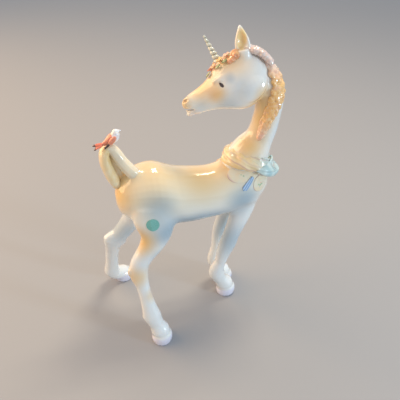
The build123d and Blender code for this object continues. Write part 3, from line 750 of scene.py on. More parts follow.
def model_ear(side):
    """A cupped leaf, open to its own side."""
    root = on_head_share(ear_root_shares[0], side * ear_root_shares[1], ear_root_shares[2])
    tip = on_head_share(ear_tip_shares[0], side * ear_tip_shares[1], ear_tip_shares[2])
    way = (tip - root).normalized()
    open_way = left_way * side
    first_hollow_ring = 7
    thinnest = 0.15
    shell = []
    cup = []
    shell_halves = []
    cup_halves = []
    for along, wide, thick in eased(ear_rows, 4):
        place = root + way * (along * ear_length)
        shell.append(place)
        shell_halves.append((wide * ear_width, thick * ear_width))
        cup.append(place + open_way * ear_opening)
        cup_halves.append((max(wide * ear_width - ear_wall, thinnest), thick * ear_width))
    ear = cast("ear", shell, shell_halves, open_way, 24, [way] * len(shell))
    cup = cup[first_hollow_ring:]
    hollow = cast("hollow", cup, cup_halves[first_hollow_ring:], open_way, 24, [way] * len(cup))
    carve(ear, hollow)
    even_clay(ear, ear_grain, 5)
    return ear


def model_head_and_neck():
    """Neck, head and ears under one skin, with a mouth and two nostrils cut in."""
    lumps = [model_neck(), model_skull()]
    for side in (1, -1):
        lumps.append(model_ear(side))
        for (forward, out, up), radii in face_lumps:
            lumps.append(pebble(on_head(forward, side * out, up), radii, head_turned))
        lumps.append(model_lid(side))
    lumps.append(pebble(on_head(*chin_place), chin_radii, head_turned))
    piece = knead_together("head_and_neck", *lumps)
    even_clay(piece, head_grain, 2)
    slit_way = (on_head(*mouth_front) - on_head(*mouth_corner)).normalized()
    slit_turn = axes_to_matrix(slit_way, left_way, slit_way.cross(left_way))
    cuts = [pebble(on_head(*mouth_place), mouth_radii, slit_turn)]
    for place in both_sides(nostril_place):
        cuts.append(pebble(place, nostril_radii, head_turned))
    for tool in cuts:
        carve(piece, tool)
    even_clay(piece, head_grain, 2)
    root, reach = ear_root_crease
    creases = [(place, reach) for place in both_sides(root)]
    creases += throat_creases
    creases += [(on_head(*place), reach) for place, reach in head_creases]
    fill_creases(piece, creases, head_slip_passes)
    sponge(piece, 2)
    return piece


def model_horn():
    """A tapered horn with one ridge wound round it, parted by a sharp groove."""
    root, way = horn_line()
    steps = 90
    groove_share = 0.74
    ridge_share = 0.38
    places = []
    halves = []
    for step in range(steps + 1):
        share = step / steps
        radius = (horn_width + (horn_tip_width - horn_width) * share) / 2
        places.append(root + way * (share * horn_length))
        halves.append((radius, radius))
    horn = cast("spiral_horn", places, halves, nose_way, 28, [way] * len(places))
    points = points_of(horn) / MM
    away = points - np.array(root)
    along = away @ np.array(way)
    spoke = away - along[:, None] * np.array(way)
    turn = np.arctan2(spoke @ np.array(left_way), spoke @ np.array(nose_way))
    phase = np.mod(turn / math.tau + horn_turns * along / horn_length, 1.0)
    swell = groove_share + ridge_share * np.sin(math.pi * phase) ** 0.7
    press_points(horn, (points + spoke * (swell - 1)[:, None]) * MM)
    return horn


def comb_hair(piece, line, waves, depth):
    """Shallow combed grooves that run along a line of places and wind round it."""
    points = points_of(piece)
    normals = outward(piece)
    centres = np.array(line) * MM
    nearest = np.argmin(((points[:, None, :] - centres[None]) ** 2).sum(2), axis=1)
    away = points - centres[nearest]
    around = np.arctan2(away[:, 1], away[:, 0] * 0.7 + away[:, 2] * 0.7)
    along = nearest / len(line)
    groove = np.sin(around * waves + along * 5.0) * 0.7
    groove += np.sin(around * (2 * waves + 1) + along * 9.0) * 0.3
    fade = np.sin(math.pi * np.clip(along, 0.02, 0.98))
    press_points(piece, points + normals * (groove * depth * MM / 2 * fade)[:, None])


def along_tail(rows, steps):
    """Places and half sizes of a strand, worked out from its rows."""
    rows = eased(rows, steps)
    places = [tail_root + Vector(row[:3]) * tail_height for row in rows]
    return places, [(deep * tail_girth, wide * tail_girth) for *_, deep, wide in rows]


def model_tail_piece(name, rows, waves, filler_rows=None):
    """A combed strand of the tail, with a filler behind it where there is one."""
    places, halves = along_tail(rows, 4)
    lumps = [cast(name, places, halves, (0, 1, 0), 24)]
    if filler_rows:
        lumps.append(cast("filler", *along_tail(filler_rows, 3), (0, 1, 0), 20))
    piece = knead_together(name, *lumps)
    even_clay(piece, tail_grain, 4)
    comb_hair(piece, places, waves, comb_depth)
    return piece


def roughen(piece, wave_length, depth, seed):
    """Small soft lumps over a piece, as in pressed hair."""
    waves = 14
    dice = np.random.default_rng(seed)
    points = points_of(piece) / MM
    total = np.zeros(len(points))
    for _ in range(waves):
        way = dice.normal(size=3)
        way *= math.tau / wave_length / np.linalg.norm(way) * dice.uniform(0.7, 1.4)
        total += np.sin(points @ way + dice.uniform(0, math.tau))
    points += outward(piece) * (total / waves ** 0.5 * depth)[:, None]
    press_points(piece, points * MM)


def model_mane():
    """The short mane: scalloped tufts in a strip along the crest, up to the poll."""
    lumps = []
    for number, (share, angle, size) in enumerate(eased(mane_rows, 2)):
        half = size * mane_width / 2
        place, out, way = on_neck(share, angle, mane_lift)
        across = way.cross(out).normalized()
        turn = axes_to_matrix(across, out.cross(across), out)
        lumps.append(pebble(place, (half * 0.90, 4.6, 1.6 + 1.3 * size), turn, 9))
        for side in (1, -1):
            sway = 0.10 * math.sin(number * 2.3 + side)
            tuft = place + across * (side * half * (0.80 + sway)) - out * 0.9 + way * (0.9 * side)
            lumps.append(pebble(tuft, (2.4 * size + 0.3, 3.2, 1.9), turn, 8))
            back = 1.3 + 0.6 * math.sin(number * 1.7)
            tuft = place + across * (side * half * 0.36) + out * (1.3 * size - 0.2) - way * back
            lumps.append(pebble(tuft, (2.2 * size + 0.4, 3.1, 1.9), turn, 8))
    for number, (forward, out, up) in enumerate(eased(crest_rows, 2)):
        sway = 0.5 * math.sin(number * 2.1)
        lumps.append(pebble(on_head(forward, out, up), (3.0, 5.0, 2.6), head_turned, 9))
        tuft = on_head(forward - 0.4, out + 4.2 + sway, up - 0.6)
        lumps.append(pebble(tuft, (2.1, 2.2, 2.2), head_turned, 8))
        tuft = on_head(forward - 0.7, out + 1.2 - sway, up + 1.2)
        lumps.append(pebble(tuft, (2.0, 2.3, 2.0), head_turned, 8))
    piece = knead_together("short_mane", *lumps)
    even_clay(piece, mane_grain, 2)
    roughen(piece, wave_length=3.6, depth=0.15, seed=3)
    roughen(piece, wave_length=1.5, depth=0.11, seed=5)
    return piece


def model_forelock():
    """A round curl that lies before the near ear."""
    rings = (12, 10, 10)
    strand_depth = 0.30
    lumps = []
    for (place, radii), count in zip(curl_lumps, rings):
        lumps.append(pebble(on_head(*place), radii, head_turned, count))
    piece = knead_together("forelock_curl", *lumps)
    even_clay(piece, curl_grain, 3)
    points = points_of(piece) / MM
    away = points - np.array(on_head(*curl_eye))
    reach = np.linalg.norm(away, axis=1)
    turn = np.arctan2(away @ np.array(up_way), away @ np.array(nose_way))
    points += outward(piece) * (strand_depth * np.sin(reach * 2.3 - turn))[:, None]
    press_points(piece, points * MM)
    return piece


def on_brow(shares):
    """The change that lays a sprig, modelled flat at the origin, on the brow."""
    forward, out, up = shares
    place = on_head_share(forward, out, up)
    outwards = (place - on_head_share(0.6 * forward, 0, 0)).normalized()
    across = outwards.cross(nose_way).normalized()
    turn = axes_to_matrix(across.cross(outwards), across, outwards)
    return Matrix.Translation(place * MM) @ turn.to_4x4()


def model_flower():
    """Five cupped petals round a button."""
    count = 5
    cup_angle = math.radians(-28)
    petals = []
    for petal in range(count):
        spin = Matrix.Rotation(math.tau * petal / count, 3, "Z")
        cupped = spin @ Matrix.Rotation(cup_angle, 3, "Y")
        petals.append(pebble(spin @ Vector((1.45, 0, 0.25)), (1.35, 1.12, 0.42), cupped, 8))
    petals.append(pebble((0, 0, 0.1), (0.75, 0.75, 0.6), None, 8))
    petals.append(pebble((0, 0, -0.7), (1.3, 1.3, 0.8), None, 8))
    flower = knead_together("flower_pattern", *petals)
    return even_clay(flower, sprig_grain, 1)


def model_leaf():
    """A pointed leaf with a groove along its middle."""
    fold_angle = math.radians(18)
    halves = []
    for side in (1, -1):
        lean = Matrix.Rotation(fold_angle * side, 3, "X")
        halves.append(pebble((0, side * 0.55, 0), (2.25, 0.85, 0.45), lean, 8))
    leaf = knead_together("leaf_pattern", *halves)
    return even_clay(leaf, sprig_grain, 1)


def model_shawl():
    """The soft shawl round the foot of the neck; its upper edge lies on the neck."""
    count = 64
    half = count // 2
    overlap = 2
    lean_angle = 0.42
    fold_depth = 0.85
    fold_reach = 9.0
    fold_level = 4.0
    angles, lifts, drops, thicknesses, heights = zip(*shawl_rows)
    places = []
    halves = []
    lean = []
    for step in range(count):
        angle = -180 + step * 360 / count
        from_chest = abs(angle)
        lift = float(np.interp(from_chest, angles, lifts))
        drop = float(np.interp(from_chest, angles, drops))
        place = on_collar(angle, lift, drop)
        out = (on_collar(angle, lift + 1, drop) - place).normalized()
        places.append(place)
        lean.append(collar_down * math.cos(lean_angle) + out * math.sin(lean_angle))
        thick = float(np.interp(from_chest, angles, thicknesses))
        halves.append((thick, float(np.interp(from_chest, angles, heights))))
    ahead = [places[(index + 1) % count] - places[index - 1] for index in range(count)]
    ends = half + overlap
    near = cast("near", places[:ends], halves[:ends], lean[:ends], 24, ahead[:ends])
    far_places, far_lean, far_ahead = [line[half:] + line[:overlap] for line in (places, lean, ahead)]
    far = cast("far", far_places, halves[:ends], far_lean, 24, far_ahead)
    shawl = knead_together("soft_shawl", near, far)
    even_clay(shawl, shawl_grain, 3)
    draw_in(shawl, low=2.0, high=8.0, gap=0.5)
    points = points_of(shawl) / MM
    height = collar_height(points)
    around = np.arctan2(points[:, 1], points[:, 0] - collar_middle.x)
    fold = np.abs(np.sin(height * 0.62 + np.cos(around) * 1.9 + 0.25 * np.sin(around * 5))) ** 0.7
    fold = fold * 1.1 - 0.6 + 0.35 * np.sin(around * 11 + height * 0.7)
    fade = np.clip((fold_reach - np.abs(height - fold_level)) / 3, 0, 1)
    points += outward(shawl) * (fold * fade * fold_depth)[:, None]
    press_points(shawl, points * MM)
    return sponge(shawl, 2)


def model_ruffle():
    """The near half of the bow, a fanned ruffle with folds that spread from a crease on the shoulder."""
    fold_depth = 1.6
    full_fold_reach = 16
    places = []
    halves = []
    for angle, out, deep, thick in eased(ruffle_rows, 4):
        drop = -0.40 * bow_depth + 0.044 * (angle - 3)
        places.append(on_collar(-angle, out * bow_depth, drop))
        halves.append((thick * bow_depth, deep * bow_depth))
    piece = cast("ruffle_pattern", places, halves, collar_down, 28)
    even_clay(piece, ruffle_grain, 2)
    draw_in(piece, low=2.5, high=8.5, gap=0.6)
    points = points_of(piece) / MM
    crease = on_collar(-crease_angle, 0.1 * bow_depth, -0.06 * bow_depth)
    away = points - np.array(crease)
    height = away @ np.array(collar_down)
    reach = np.sqrt(np.maximum((away ** 2).sum(1) - height ** 2, 0.01))
    spread = np.arctan2(height, reach + 3)
    fold = np.abs(np.sin(spread * 8.5 + 0.5 + 0.02 * reach)) ** 0.75 - 0.62
    points += outward(piece) * (fold * np.clip(reach / full_fold_reach, 0.1, 1) * fold_depth)[:, None]
    press_points(piece, points * MM)
    return sponge(piece, 1)


def model_knot():
    """The knot between the two ruffles, on the chest."""
    place = on_collar(0, 0.06 * bow_depth, -0.34 * bow_depth)
    side = Vector((0, 1, 0))
    piece = pebble(place, knot_radii, axes_to_matrix(side, collar_down.cross(side), collar_down))
    piece.name = "knot_of_the_bow"
    even_clay(piece, knot_grain, 1)
    draw_in(piece, low=1.5, high=7.5, gap=0.8)
    return piece


def lay_patch(name, ground, centre, facing, corners, inset_reach, lift, thickness):
    """A flat outline of clay that is laid over the casting and follows it."""
    hover = 4.0
    put_down_everything()
    facing = Vector(facing).normalized()
    across = Vector((1, 0, 0))
    across = (across - facing * across.dot(facing)).normalized()
    turn = axes_to_matrix(across, facing.cross(across), facing)
    bpy.ops.mesh.primitive_circle_add(vertices=len(corners), radius=1, fill_type="NGON")
    patch = bpy.context.object
    for vert, (x, y) in zip(patch.data.vertices, corners):
        vert.co = (Vector(centre) + turn @ Vector((x, y, hover))) * MM
    bpy.ops.object.mode_set(mode="EDIT")
    bpy.ops.mesh.select_all(action="SELECT")
    rounds = max(int(inset_reach), 2)
    for _ in range(rounds):
        bpy.ops.mesh.inset(thickness=inset_reach * MM / (rounds + 1), depth=0)
    bpy.ops.mesh.poke()
    bpy.ops.object.mode_set(mode="OBJECT")
    finish_with(
        patch, "SHRINKWRAP", target=ground, wrap_method="NEAREST_SURFACEPOINT", wrap_mode="ABOVE_SURFACE",
        offset=lift * MM,
    )
    sponge(patch, 2)
    finish_with(patch, "SOLIDIFY", thickness=thickness * MM, offset=0)
    finish_with(patch, "BEVEL", width=0.3 * MM, segments=2, limit_method="ANGLE")
    finish_with(patch, "SUBSURF", levels=1, render_levels=1)
    patch.name = name
    return patch


def lay_lobe(name, ground, sides, shares, facing, radius, lift, thickness):
    """A round lobe on one side of the body."""
    count = 40
    turns = [math.tau * corner / count for corner in range(count)]
    corners = [(radius * math.cos(turn), radius * math.sin(turn)) for turn in turns]
    centre = on_torso(*Vector(shares) * sides)
    return lay_patch(name, ground, centre, Vector(facing) * sides, corners, radius, lift, thickness)


def ribbon_corners(way, side):
    """The corners of a ribbon end that runs along a way and ends in a point."""
    edge = [(along, width) for along, width in ribbon_outline]
    edge.append((ribbon_point, 0))
    edge += [(along, -width) for along, width in reversed(ribbon_outline)]
    corners = []
    for along, width in edge:
        ahead = way.x * along + way.z * width
        up = way.z * along - way.x * width
        corners.append((ahead, -side * up))
    return corners


def middle_of(piece):
    """The mean of a piece's points, in mm."""
    return Vector(points_of(piece).mean(axis=0)) / MM


def model_bird_body():
    """The bird's body, head and beak."""
    rows = eased(bird_rows, 4)
    places = [on_bird(forward, 0, up) for forward, up, _, _ in rows]
    halves = [(wide * bird_girth, deep * bird_girth) for *_, deep, wide in rows]
    bird = cast("little_bird", places, halves, (-1, 0, 1), 16)
    return even_clay(bird, bird_grain, 2)


def model_forked_tail():
    """The bird's two tail feathers."""
    root = on_bird(*bird_tail_root_shares)
    feathers = []
    for tip in [on_bird(*shares) for shares in bird_tail_tip_shares]:
        line = (tip - root).normalized()
        across = Vector((0, 0, 1)).cross(line).normalized()
        turn = axes_to_matrix(line, across, line.cross(across))
        feathers.append(pebble(root.lerp(tip, 0.55), tail_feather_radii, turn, 12))
    tail = knead_together("bird_forked_tail", *feathers)
    return even_clay(tail, bird_grain, 1)


def model_wing():
    """The near wing, folded, with three feathers behind its shoulder."""
    root = on_bird(*wing_root_shares)
    tip = on_bird(*wing_tip_shares)
    line = (tip - root).normalized()
    across = Vector((0, -1, 0))
    turn = axes_to_matrix(line, across.cross(line), across)
    lumps = [pebble(root.lerp(tip, 0.34), wing_radii, turn, 10)]
    for feather in range(3):
        step = Vector((0.5 - 0.5 * feather, -0.1, 0.4 - 0.1 * feather))
        place = root.lerp(tip, 0.66 + 0.13 * feather) + step
        lumps.append(pebble(place, wing_feather_radii, turn, 8))
    wing = knead_together("bird_wing_near", *lumps)
    return even_clay(wing, bird_grain, 1)


# Paint and glaze

class Paint:
    """A value on its way through a material, used in plain arithmetic."""

    def __init__(self, bench, socket):
        self.bench = bench
        self.socket = socket

    def math(self, operation, first, second=0.0):
        """One step of arithmetic, as a Math node."""
        return self.bench.node("ShaderNodeMath", {"operation": operation}, {0: first, 1: second})

    def __add__(self, other):
        return self.math("ADD", self, other)

    def __radd__(self, other):
        return self.math("ADD", other, self)

    def __sub__(self, other):
        return self.math("SUBTRACT", self, other)

    def __rsub__(self, other):
        return self.math("SUBTRACT", other, self)

    def __mul__(self, other):
        return self.math("MULTIPLY", self, other)

    def __rmul__(self, other):
        return self.math("MULTIPLY", other, self)

    def __truediv__(self, other):
        return self.math("DIVIDE", self, other)

    def __rtruediv__(self, other):
        return self.math("DIVIDE", other, self)

    def __mod__(self, other):
        return self.math("FLOORED_MODULO", self, other)

    def __rmod__(self, other):
        return self.math("FLOORED_MODULO", other, self)

    def __abs__(self):
        return self.math("ABSOLUTE", self)

    def sine(self):
        return self.math("SINE", self)

    def turn_with(self, ahead):
        """The angle of a place that lies this far aside and that far ahead."""
        return self.math("ARCTAN2", self, ahead)

    def most(self, other):
        return self.math("MAXIMUM", self, other)

    def least(self, other):
        return self.math("MINIMUM", self, other)


class Bench:
    """One material and the nodes that mix its paint."""

    def __init__(self, name):
        self.material = bpy.data.materials.new(name)
        self.material.use_nodes = True
        self.tree = self.material.node_tree
        self.tree.nodes.clear()
        self.output = self.tree.nodes.new("ShaderNodeOutputMaterial")
        self.place = self.node("ShaderNodeTexCoord", {}, {}, "Object")

    def node(self, kind, settings, values, out=0):
        """Any node: its type, its settings, and the values or links of its sockets."""
        made = self.tree.nodes.new(kind)
        for key, value in settings.items():
            setattr(made, key, value)
        for key, value in values.items():
            socket = made.inputs[key]
            if isinstance(value, Paint):
                self.tree.links.new(value.socket, socket)
            elif isinstance(value, tuple) and len(value) == 3 and socket.type == "RGBA":
                socket.default_value = (*value, 1)
            else:
                socket.default_value = value
        return Paint(self, made.outputs[out])

    def vector(self, operation, first, second, out=0):
        return self.node("ShaderNodeVectorMath", {"operation": operation}, {0: first, 1: second}, out)

    def mix(self, amount, under, over):
        return self.node("ShaderNodeMix", {"data_type": "RGBA"}, {"Factor": amount, 6: under, 7: over}, 2)

    def noise(self, scale, detail=2.0):
        return self.node("ShaderNodeTexNoise", {}, {"Vector": self.place, "Scale": scale, "Detail": detail})

    def axis(self, name):
        return self.node("ShaderNodeSeparateXYZ", {}, {0: self.place}, name)

    def ease(self, value, low, high):
        """0 below low and 1 above high, with a soft slope between."""
        settings = {"interpolation_type": "SMOOTHSTEP"}
        return self.node("ShaderNodeMapRange", settings, {0: value, 1: low, 2: high})

    def mottle(self, scale, low, high, first, second, amount=1.0):
        """Two paints in soft patches, the second laid as thick as the amount."""
        return self.mix(self.ease(self.noise(scale), low, high) * amount, first, second)

    def measure(self, start, way):
        """How far along a way a point lies, in metres, from a place in mm."""
        moved = self.vector("SUBTRACT", self.place, start * MM)
        return self.vector("DOT_PRODUCT", moved, way, "Value")

    def away_from(self, place, squash=(1, 1, 1)):
        """The distance from a place (mm), in metres, over a stretched ball."""
        scale = tuple(1 / part for part in squash)
        start = tuple(-coordinate * MM * part for coordinate, part in zip(place, scale))
        values = {"Vector": self.place, "Location": start, "Scale": scale}
        moved = self.node("ShaderNodeMapping", {}, values)
        return self.node("ShaderNodeVectorMath", {"operation": "LENGTH"}, {0: moved}, "Value")

    def airbrush(self, under, over, place, reach, strength=1.0, squash=(1, 1, 1), soft=None):
        """A cloud of colour at a place (mm); its edge is this soft, or it fades from near the middle."""
        away = self.away_from(place, squash)
        inner = reach * 0.1 if soft is None else reach - soft
        cloud = 1.0 - self.ease(away, inner * MM, reach * MM)
        return self.mix(cloud * strength, under, over)

    def stroke(self, under, over, line, width, strength):
        """A thin painted line through places (mm)."""
        nearest = None
        for first, last in zip(line, line[1:]):
            start = Vector(first) * MM
            way = Vector(last) * MM - start
            along = self.vector("SUBTRACT", self.place, start)
            share = self.vector("DOT_PRODUCT", along, way / way.length_squared, "Value")
            share = share.most(0.0).least(1.0)
            foot = self.node("ShaderNodeVectorMath", {"operation": "SCALE"}, {0: way, "Scale": share})
            gap = self.vector("DISTANCE", along, foot, "Value")
            nearest = gap if nearest is None else nearest.least(gap)
        cover = 1.0 - self.ease(nearest, width * 0.45 * MM, width * 0.8 * MM)
        return self.mix(cover * strength, under, over)

    def finish(self, **sockets):
        """The surface of the material, from the values or links of its sockets."""
        values = {name.replace("_", " "): value for name, value in sockets.items()}
        shader = self.node("ShaderNodeBsdfPrincipled", {}, values)
        self.tree.links.new(shader.socket, self.output.inputs["Surface"])
        return self.material

    def bump(self, height, strength, distance):
        """Small unevenness of a surface, with its distance in mm."""
        return self.node(
            "ShaderNodeBump", {}, {"Strength": strength, "Distance": distance * MM, "Height": height},
        )

    def glaze(self, colour, rough=0.16, bump=None, strength=0.1):
        """Clear glaze over the paint, with the faint unevenness of a fired coat."""
        height = self.noise(260.0) * 0.06 + self.noise(60.0, 1.0) * 0.25
        if bump is not None:
            height = height + bump
        return self.finish(
            Base_Color=colour, Roughness=rough + self.noise(900.0) * 0.04, IOR=1.5,
            Coat_Weight=1.0, Coat_Roughness=0.03, Coat_IOR=1.5,
            Subsurface_Weight=0.25, Subsurface_Scale=0.0022, Subsurface_Radius=(1.0, 0.85, 0.7),
            Normal=self.bump(height, strength, 0.3),
        )


white = (0.83, 0.82, 0.78)
ivory = (0.85, 0.77, 0.60)
cream = (0.86, 0.72, 0.48)
# Honey: part golden paint and part painted warm light
honey_and_warm_light = (0.84, 0.54, 0.20)
gold = (0.92, 0.64, 0.26)
rose = (0.74, 0.38, 0.32)
mauve = (0.48, 0.26, 0.27)
dusky_pink = (0.62, 0.34, 0.34)
# Blue grey for painted shade on the head
shade_blue = (0.32, 0.43, 0.53)
# Slate: part airbrushed tint and part painted shade on the body
slate_and_shade = (0.28, 0.40, 0.48)
pale_blue = (0.68, 0.75, 0.79)
lilac = (0.74, 0.72, 0.84)
sage = (0.36, 0.50, 0.28)
coral = (0.86, 0.30, 0.16)
umber = (0.20, 0.10, 0.06)
sienna = (0.30, 0.14, 0.08)
pitch = (0.05, 0.025, 0.02)
seam_grey = (0.34, 0.34, 0.36)

# Clouds of paint on the body: place, reach, strength, stretch. The slate clouds are part airbrushed tint
# and part painted shade, on the belly, the shoulder, the far thigh and the insides of the legs; the honey
# clouds are part golden paint and part painted warm light, on the parts towards the warm lamp.
body_slate_and_shade = (
    ((-30, -24, 130), 19, 0.60, (1, 1.4, 1)), ((-24, -22, 110), 20, 0.55, (1, 1, 1)),
    ((38, -22, 119), 22, 0.80, (1, 1, 1)), ((-2, -20, 105), 24, 1.00, (2.4, 1.2, 0.64)),
    ((-50, 20, 84), 22, 0.75, (1, 1, 1)), ((-62, 26, 76), 18, 0.6, (1, 1, 1)),
    ((-54, 30, 40), 14, 0.25, (1, 1, 1)), ((34, -6, 72), 27, 0.70, (1, 1, 1)),
    ((-32, -28, 84), 11, 0.3, (1, 1, 1)),
)
body_honey_and_warm_light = (
    ((-60, -4, 136), 27, 1.0), ((-47, -24, 101), 19, 1.0), ((-52, -26, 68), 14, 0.7),
    ((-30, -4, 150), 32, 0.6), ((34, 0, 148), 30, 0.6), ((-64, 8, 118), 18, 0.6),
    ((6, -8, 142), 30, 0.75), ((-42, -34, 50), 9, 0.5),
)
# Heights between which the paint of the body warms, part cream paint and part painted warm light from
# above, and the tint of the hooves ends
warm_paint_and_light_levels = (100, 142)
hoof_tint_levels = (6.5, 9.5)
# The faint line where the near foreleg was luted on
leg_seam = (
    (28.0, -15.4, 108.6), (29.5, -16, 109.3), (37.4, -19, 111.5), (49.8, -17, 112.0), (52.6, -14, 112.4),
)
# Clouds of paint on the head, in its own frame, and on the neck: place, reach, strength, paint. The honey
# clouds are part golden paint and part painted warm light; the blue grey clouds on the cheek, under the
# jaw, on the lower muzzle and behind the eye are painted shade; the pale blue clouds on the chest side of
# the neck are part pale paint and part painted cool light.
head_paint_and_shade_clouds = (
    ((26, 4, 9), 20, 0.85, honey_and_warm_light), ((42, 3, 2), 9, 0.85, honey_and_warm_light), ((4, 6, 15), 16, 0.75, honey_and_warm_light),
    ((18, 9, -2), 10, 0.75, honey_and_warm_light), ((1, 13, -6), 11, 0.30, shade_blue), ((14, 9, -13), 12, 0.35, shade_blue),
    ((-4, 12, 8), 13, 0.35, honey_and_warm_light), ((32, 6, -5), 8, 0.20, shade_blue), ((21, 8, -1), 6, 0.12, mauve),
    ((6, 11, 3.4), 5.5, 0.45, shade_blue), ((38, 3, -9), 6, 0.25, rose),
)
neck_paint_and_light_clouds = (
    ((46, -10, 182), 21, 1.0, honey_and_warm_light), ((40, -12, 164), 21, 1.0, honey_and_warm_light), ((49, -10, 194), 14, 0.8, honey_and_warm_light),
    ((74, -6, 182), 21, 0.85, pale_blue), ((66, -16, 162), 13, 0.7, pale_blue),
    ((67, -5, 169), 14, 0.85, pale_blue), (on_head(-12, 10, -18), 12, 0.8, honey_and_warm_light),
)
# Towards the nose, up, reach: the spots that make one almond of an eye
eye_out = 10.5
eye_spots = ((13.5, 3.3, 0.8), (13.2, 2.6, 1.2), (12.8, 1.7, 1.45), (12.4, 0.8, 1.2))
lash_out = 10.6
lash_line = ((15.0, 3.3), (13.6, 4.4), (11.6, 4.3), (10.2, 2.6))
nostril_paint_place = (40.2, 6.0, 2.6)
ear_hollow_shares = (-0.18, 0.33, 0.55)
ear_hollow_lift = 1.2
ear_hollow_reach = 8.2
# Aside, up, paint, size of each dab of the little sprig on a lobe
sprig_dabs = (
    (0, 0, sage, 1.3), (1.6, 0.4, sage, 1.0), (-1.7, 0.9, sage, 1.0), (0.6, 1.7, coral, 0.75),
    (-0.7, -1.5, (0.3, 0.4, 0.7), 0.7), (2.8, 1.4, rose, 0.7), (-2.9, 1.9, (0.8, 0.6, 0.2), 0.7),
)
# Height above the middle of the shawl and strength of each line painted round it
shawl_lines = ((-0.6, 0.50), (3.6, 0.25), (8.0, 0.35))


def glaze_of_body():
    """White below and warm above, part paint and part painted light from above, with slate clouds that are
    partly painted shade, honey clouds that are partly painted warm light, and tinted hooves.
    """
    bench = Bench("body_glaze")
    up = bench.axis("Z") / MM
    soft = bench.noise(16.0)
    low = bench.mix(soft * 0.4, white, pale_blue)
    high = bench.mix(bench.ease(soft, 0.3, 0.7) * 0.35, ivory, cream)
    # Warmer above: part cream paint and part painted warm light from above
    colour = bench.mix(bench.ease(up, *warm_paint_and_light_levels), low, high)
    # Slate clouds: part airbrushed tint and part painted shade
    for place, reach, amount, squash in body_slate_and_shade:
        colour = bench.airbrush(colour, slate_and_shade, place, reach, amount, squash)
    # Honey clouds: part golden paint and part painted warm light
    for place, reach, amount in body_honey_and_warm_light:
        colour = bench.airbrush(colour, honey_and_warm_light, place, reach, amount)
    colour = bench.stroke(colour, seam_grey, leg_seam, 0.6, 0.5)
    hoof = 1.0 - bench.ease(up, *hoof_tint_levels)
    return bench.glaze(bench.mix(hoof * 0.85, colour, lilac))


def glaze_of_head():
    """Warm white, honey on nose and poll that is part golden paint and part painted warm light, painted
    shade on cheek, jaw and behind the eye, dark eyes, and gold in the ears.
    """
    bench = Bench("head_glaze")
    colour = bench.mottle(18.0, 0.3, 0.7, white, cream, 0.25)
    # Honey clouds: part painted warm light; blue grey clouds: painted shade
    for place, reach, amount, tint in head_paint_and_shade_clouds:
        colour = bench.airbrush(colour, tint, on_head(*place), reach, amount)
    # On the neck: honey is part painted warm light, pale blue part painted cool light
    for place, reach, amount, tint in neck_paint_and_light_clouds:
        colour = bench.airbrush(colour, tint, place, reach, amount)
    for side in (1, -1):
        for forward, up, size in eye_spots:
            place = on_head(forward, side * eye_out, up)
            colour = bench.airbrush(colour, pitch, place, size, soft=0.5)
        lash = [on_head(forward, side * lash_out, up) for forward, up in lash_line]
        colour = bench.stroke(colour, umber, lash, 0.5, 0.25)
        # Dark paint in each nostril, which is also painted shade in its hollow
        forward, out, up = nostril_paint_place
        colour = bench.airbrush(colour, sienna, on_head(forward, side * out, up), 2.0, 0.6)
        forward, out, up = ear_hollow_shares
        middle = on_head_share(forward, side * out, up) + left_way * (side * ear_hollow_lift)
        squash = (0.56, 0.56, 1.25)
        colour = bench.airbrush(colour, gold, middle, ear_hollow_reach, 0.95, squash, soft=4.0)
    return bench.glaze(colour)


def glaze_of_mane():
    """Three paints, one above the other, from the withers to the poll."""
    bench = Bench("mane_glaze")
    up = bench.measure(neck_root, (0, 0, 1)) / MM
    low = bench.mix(bench.ease(up, 33, 53), (0.88, 0.56, 0.38), (0.92, 0.52, 0.18))
    colour = bench.mix(bench.ease(up, 75, 89), low, (0.72, 0.56, 0.50))
    colour = bench.mottle(520.0, 0.50, 0.60, colour, (0.92, 0.76, 0.54), 0.28)
    colour = bench.mottle(190.0, 0.55, 0.68, colour, rose, 0.28)
    return bench.glaze(colour, rough=0.24, bump=bench.noise(1000.0) * 0.8, strength=0.3)


def glaze_of_curl():
    """Two reddish browns in small patches."""
    bench = Bench("forelock_glaze")
    colour = bench.mottle(300.0, 0.4, 0.6, (0.86, 0.46, 0.20), (0.84, 0.34, 0.20), 0.6)
    return bench.glaze(colour, rough=0.24, bump=bench.noise(700.0) * 0.8, strength=0.35)


def glaze_of_horn():
    """Grey green, with painted shade as a dark line in the groove beside the ridge."""
    bench = Bench("horn_glaze")
    root, way = horn_line()
    turn = bench.measure(root, left_way).turn_with(bench.measure(root, nose_way))
    phase = (turn / math.tau + bench.measure(root, way) * (horn_turns / horn_length / MM)) % 1.0
    colour = bench.mottle(200.0, 0.35, 0.65, (0.72, 0.73, 0.62), (0.56, 0.60, 0.50), 0.5)
    # Painted shade: a dark line in the groove beside the ridge
    colour = bench.mix(bench.ease(abs(phase - 0.5), 0.28, 0.48) * 0.8, colour, (0.26, 0.29, 0.22))
    return bench.glaze(colour, rough=0.2)


def mottled_glaze(name, first, second, scale=220.0, low=0.4, high=0.6, rough=0.2):
    """Two paints in soft patches under the clear glaze."""
    bench = Bench(name)
    return bench.glaze(bench.mottle(scale, low, high, first, second), rough=rough)


def glaze_of_shawl():
    """Warm behind and pale green before, with mauve lines round it."""
    bench = Bench("collar_glaze")
    warm = bench.mottle(120.0, 0.35, 0.65, (0.86, 0.62, 0.30), (0.88, 0.76, 0.52), 0.6)
    pale = bench.mottle(160.0, 0.35, 0.65, (0.58, 0.68, 0.62), (0.78, 0.80, 0.70), 0.6)
    ahead = bench.measure(collar_middle, (1, 0, 0)) / MM
    colour = bench.mix(bench.ease(ahead, -10.56, 9.44), warm, pale)
    height = bench.measure(collar_middle, collar_up) / MM + (bench.noise(110.0) - 0.5) * 2.4
    for level, amount in shawl_lines:
        line = 1.0 - bench.ease(abs(height - level), 0.15, 0.9)
        colour = bench.mix(line * amount, colour, mauve)
    return bench.glaze(colour, rough=0.2)


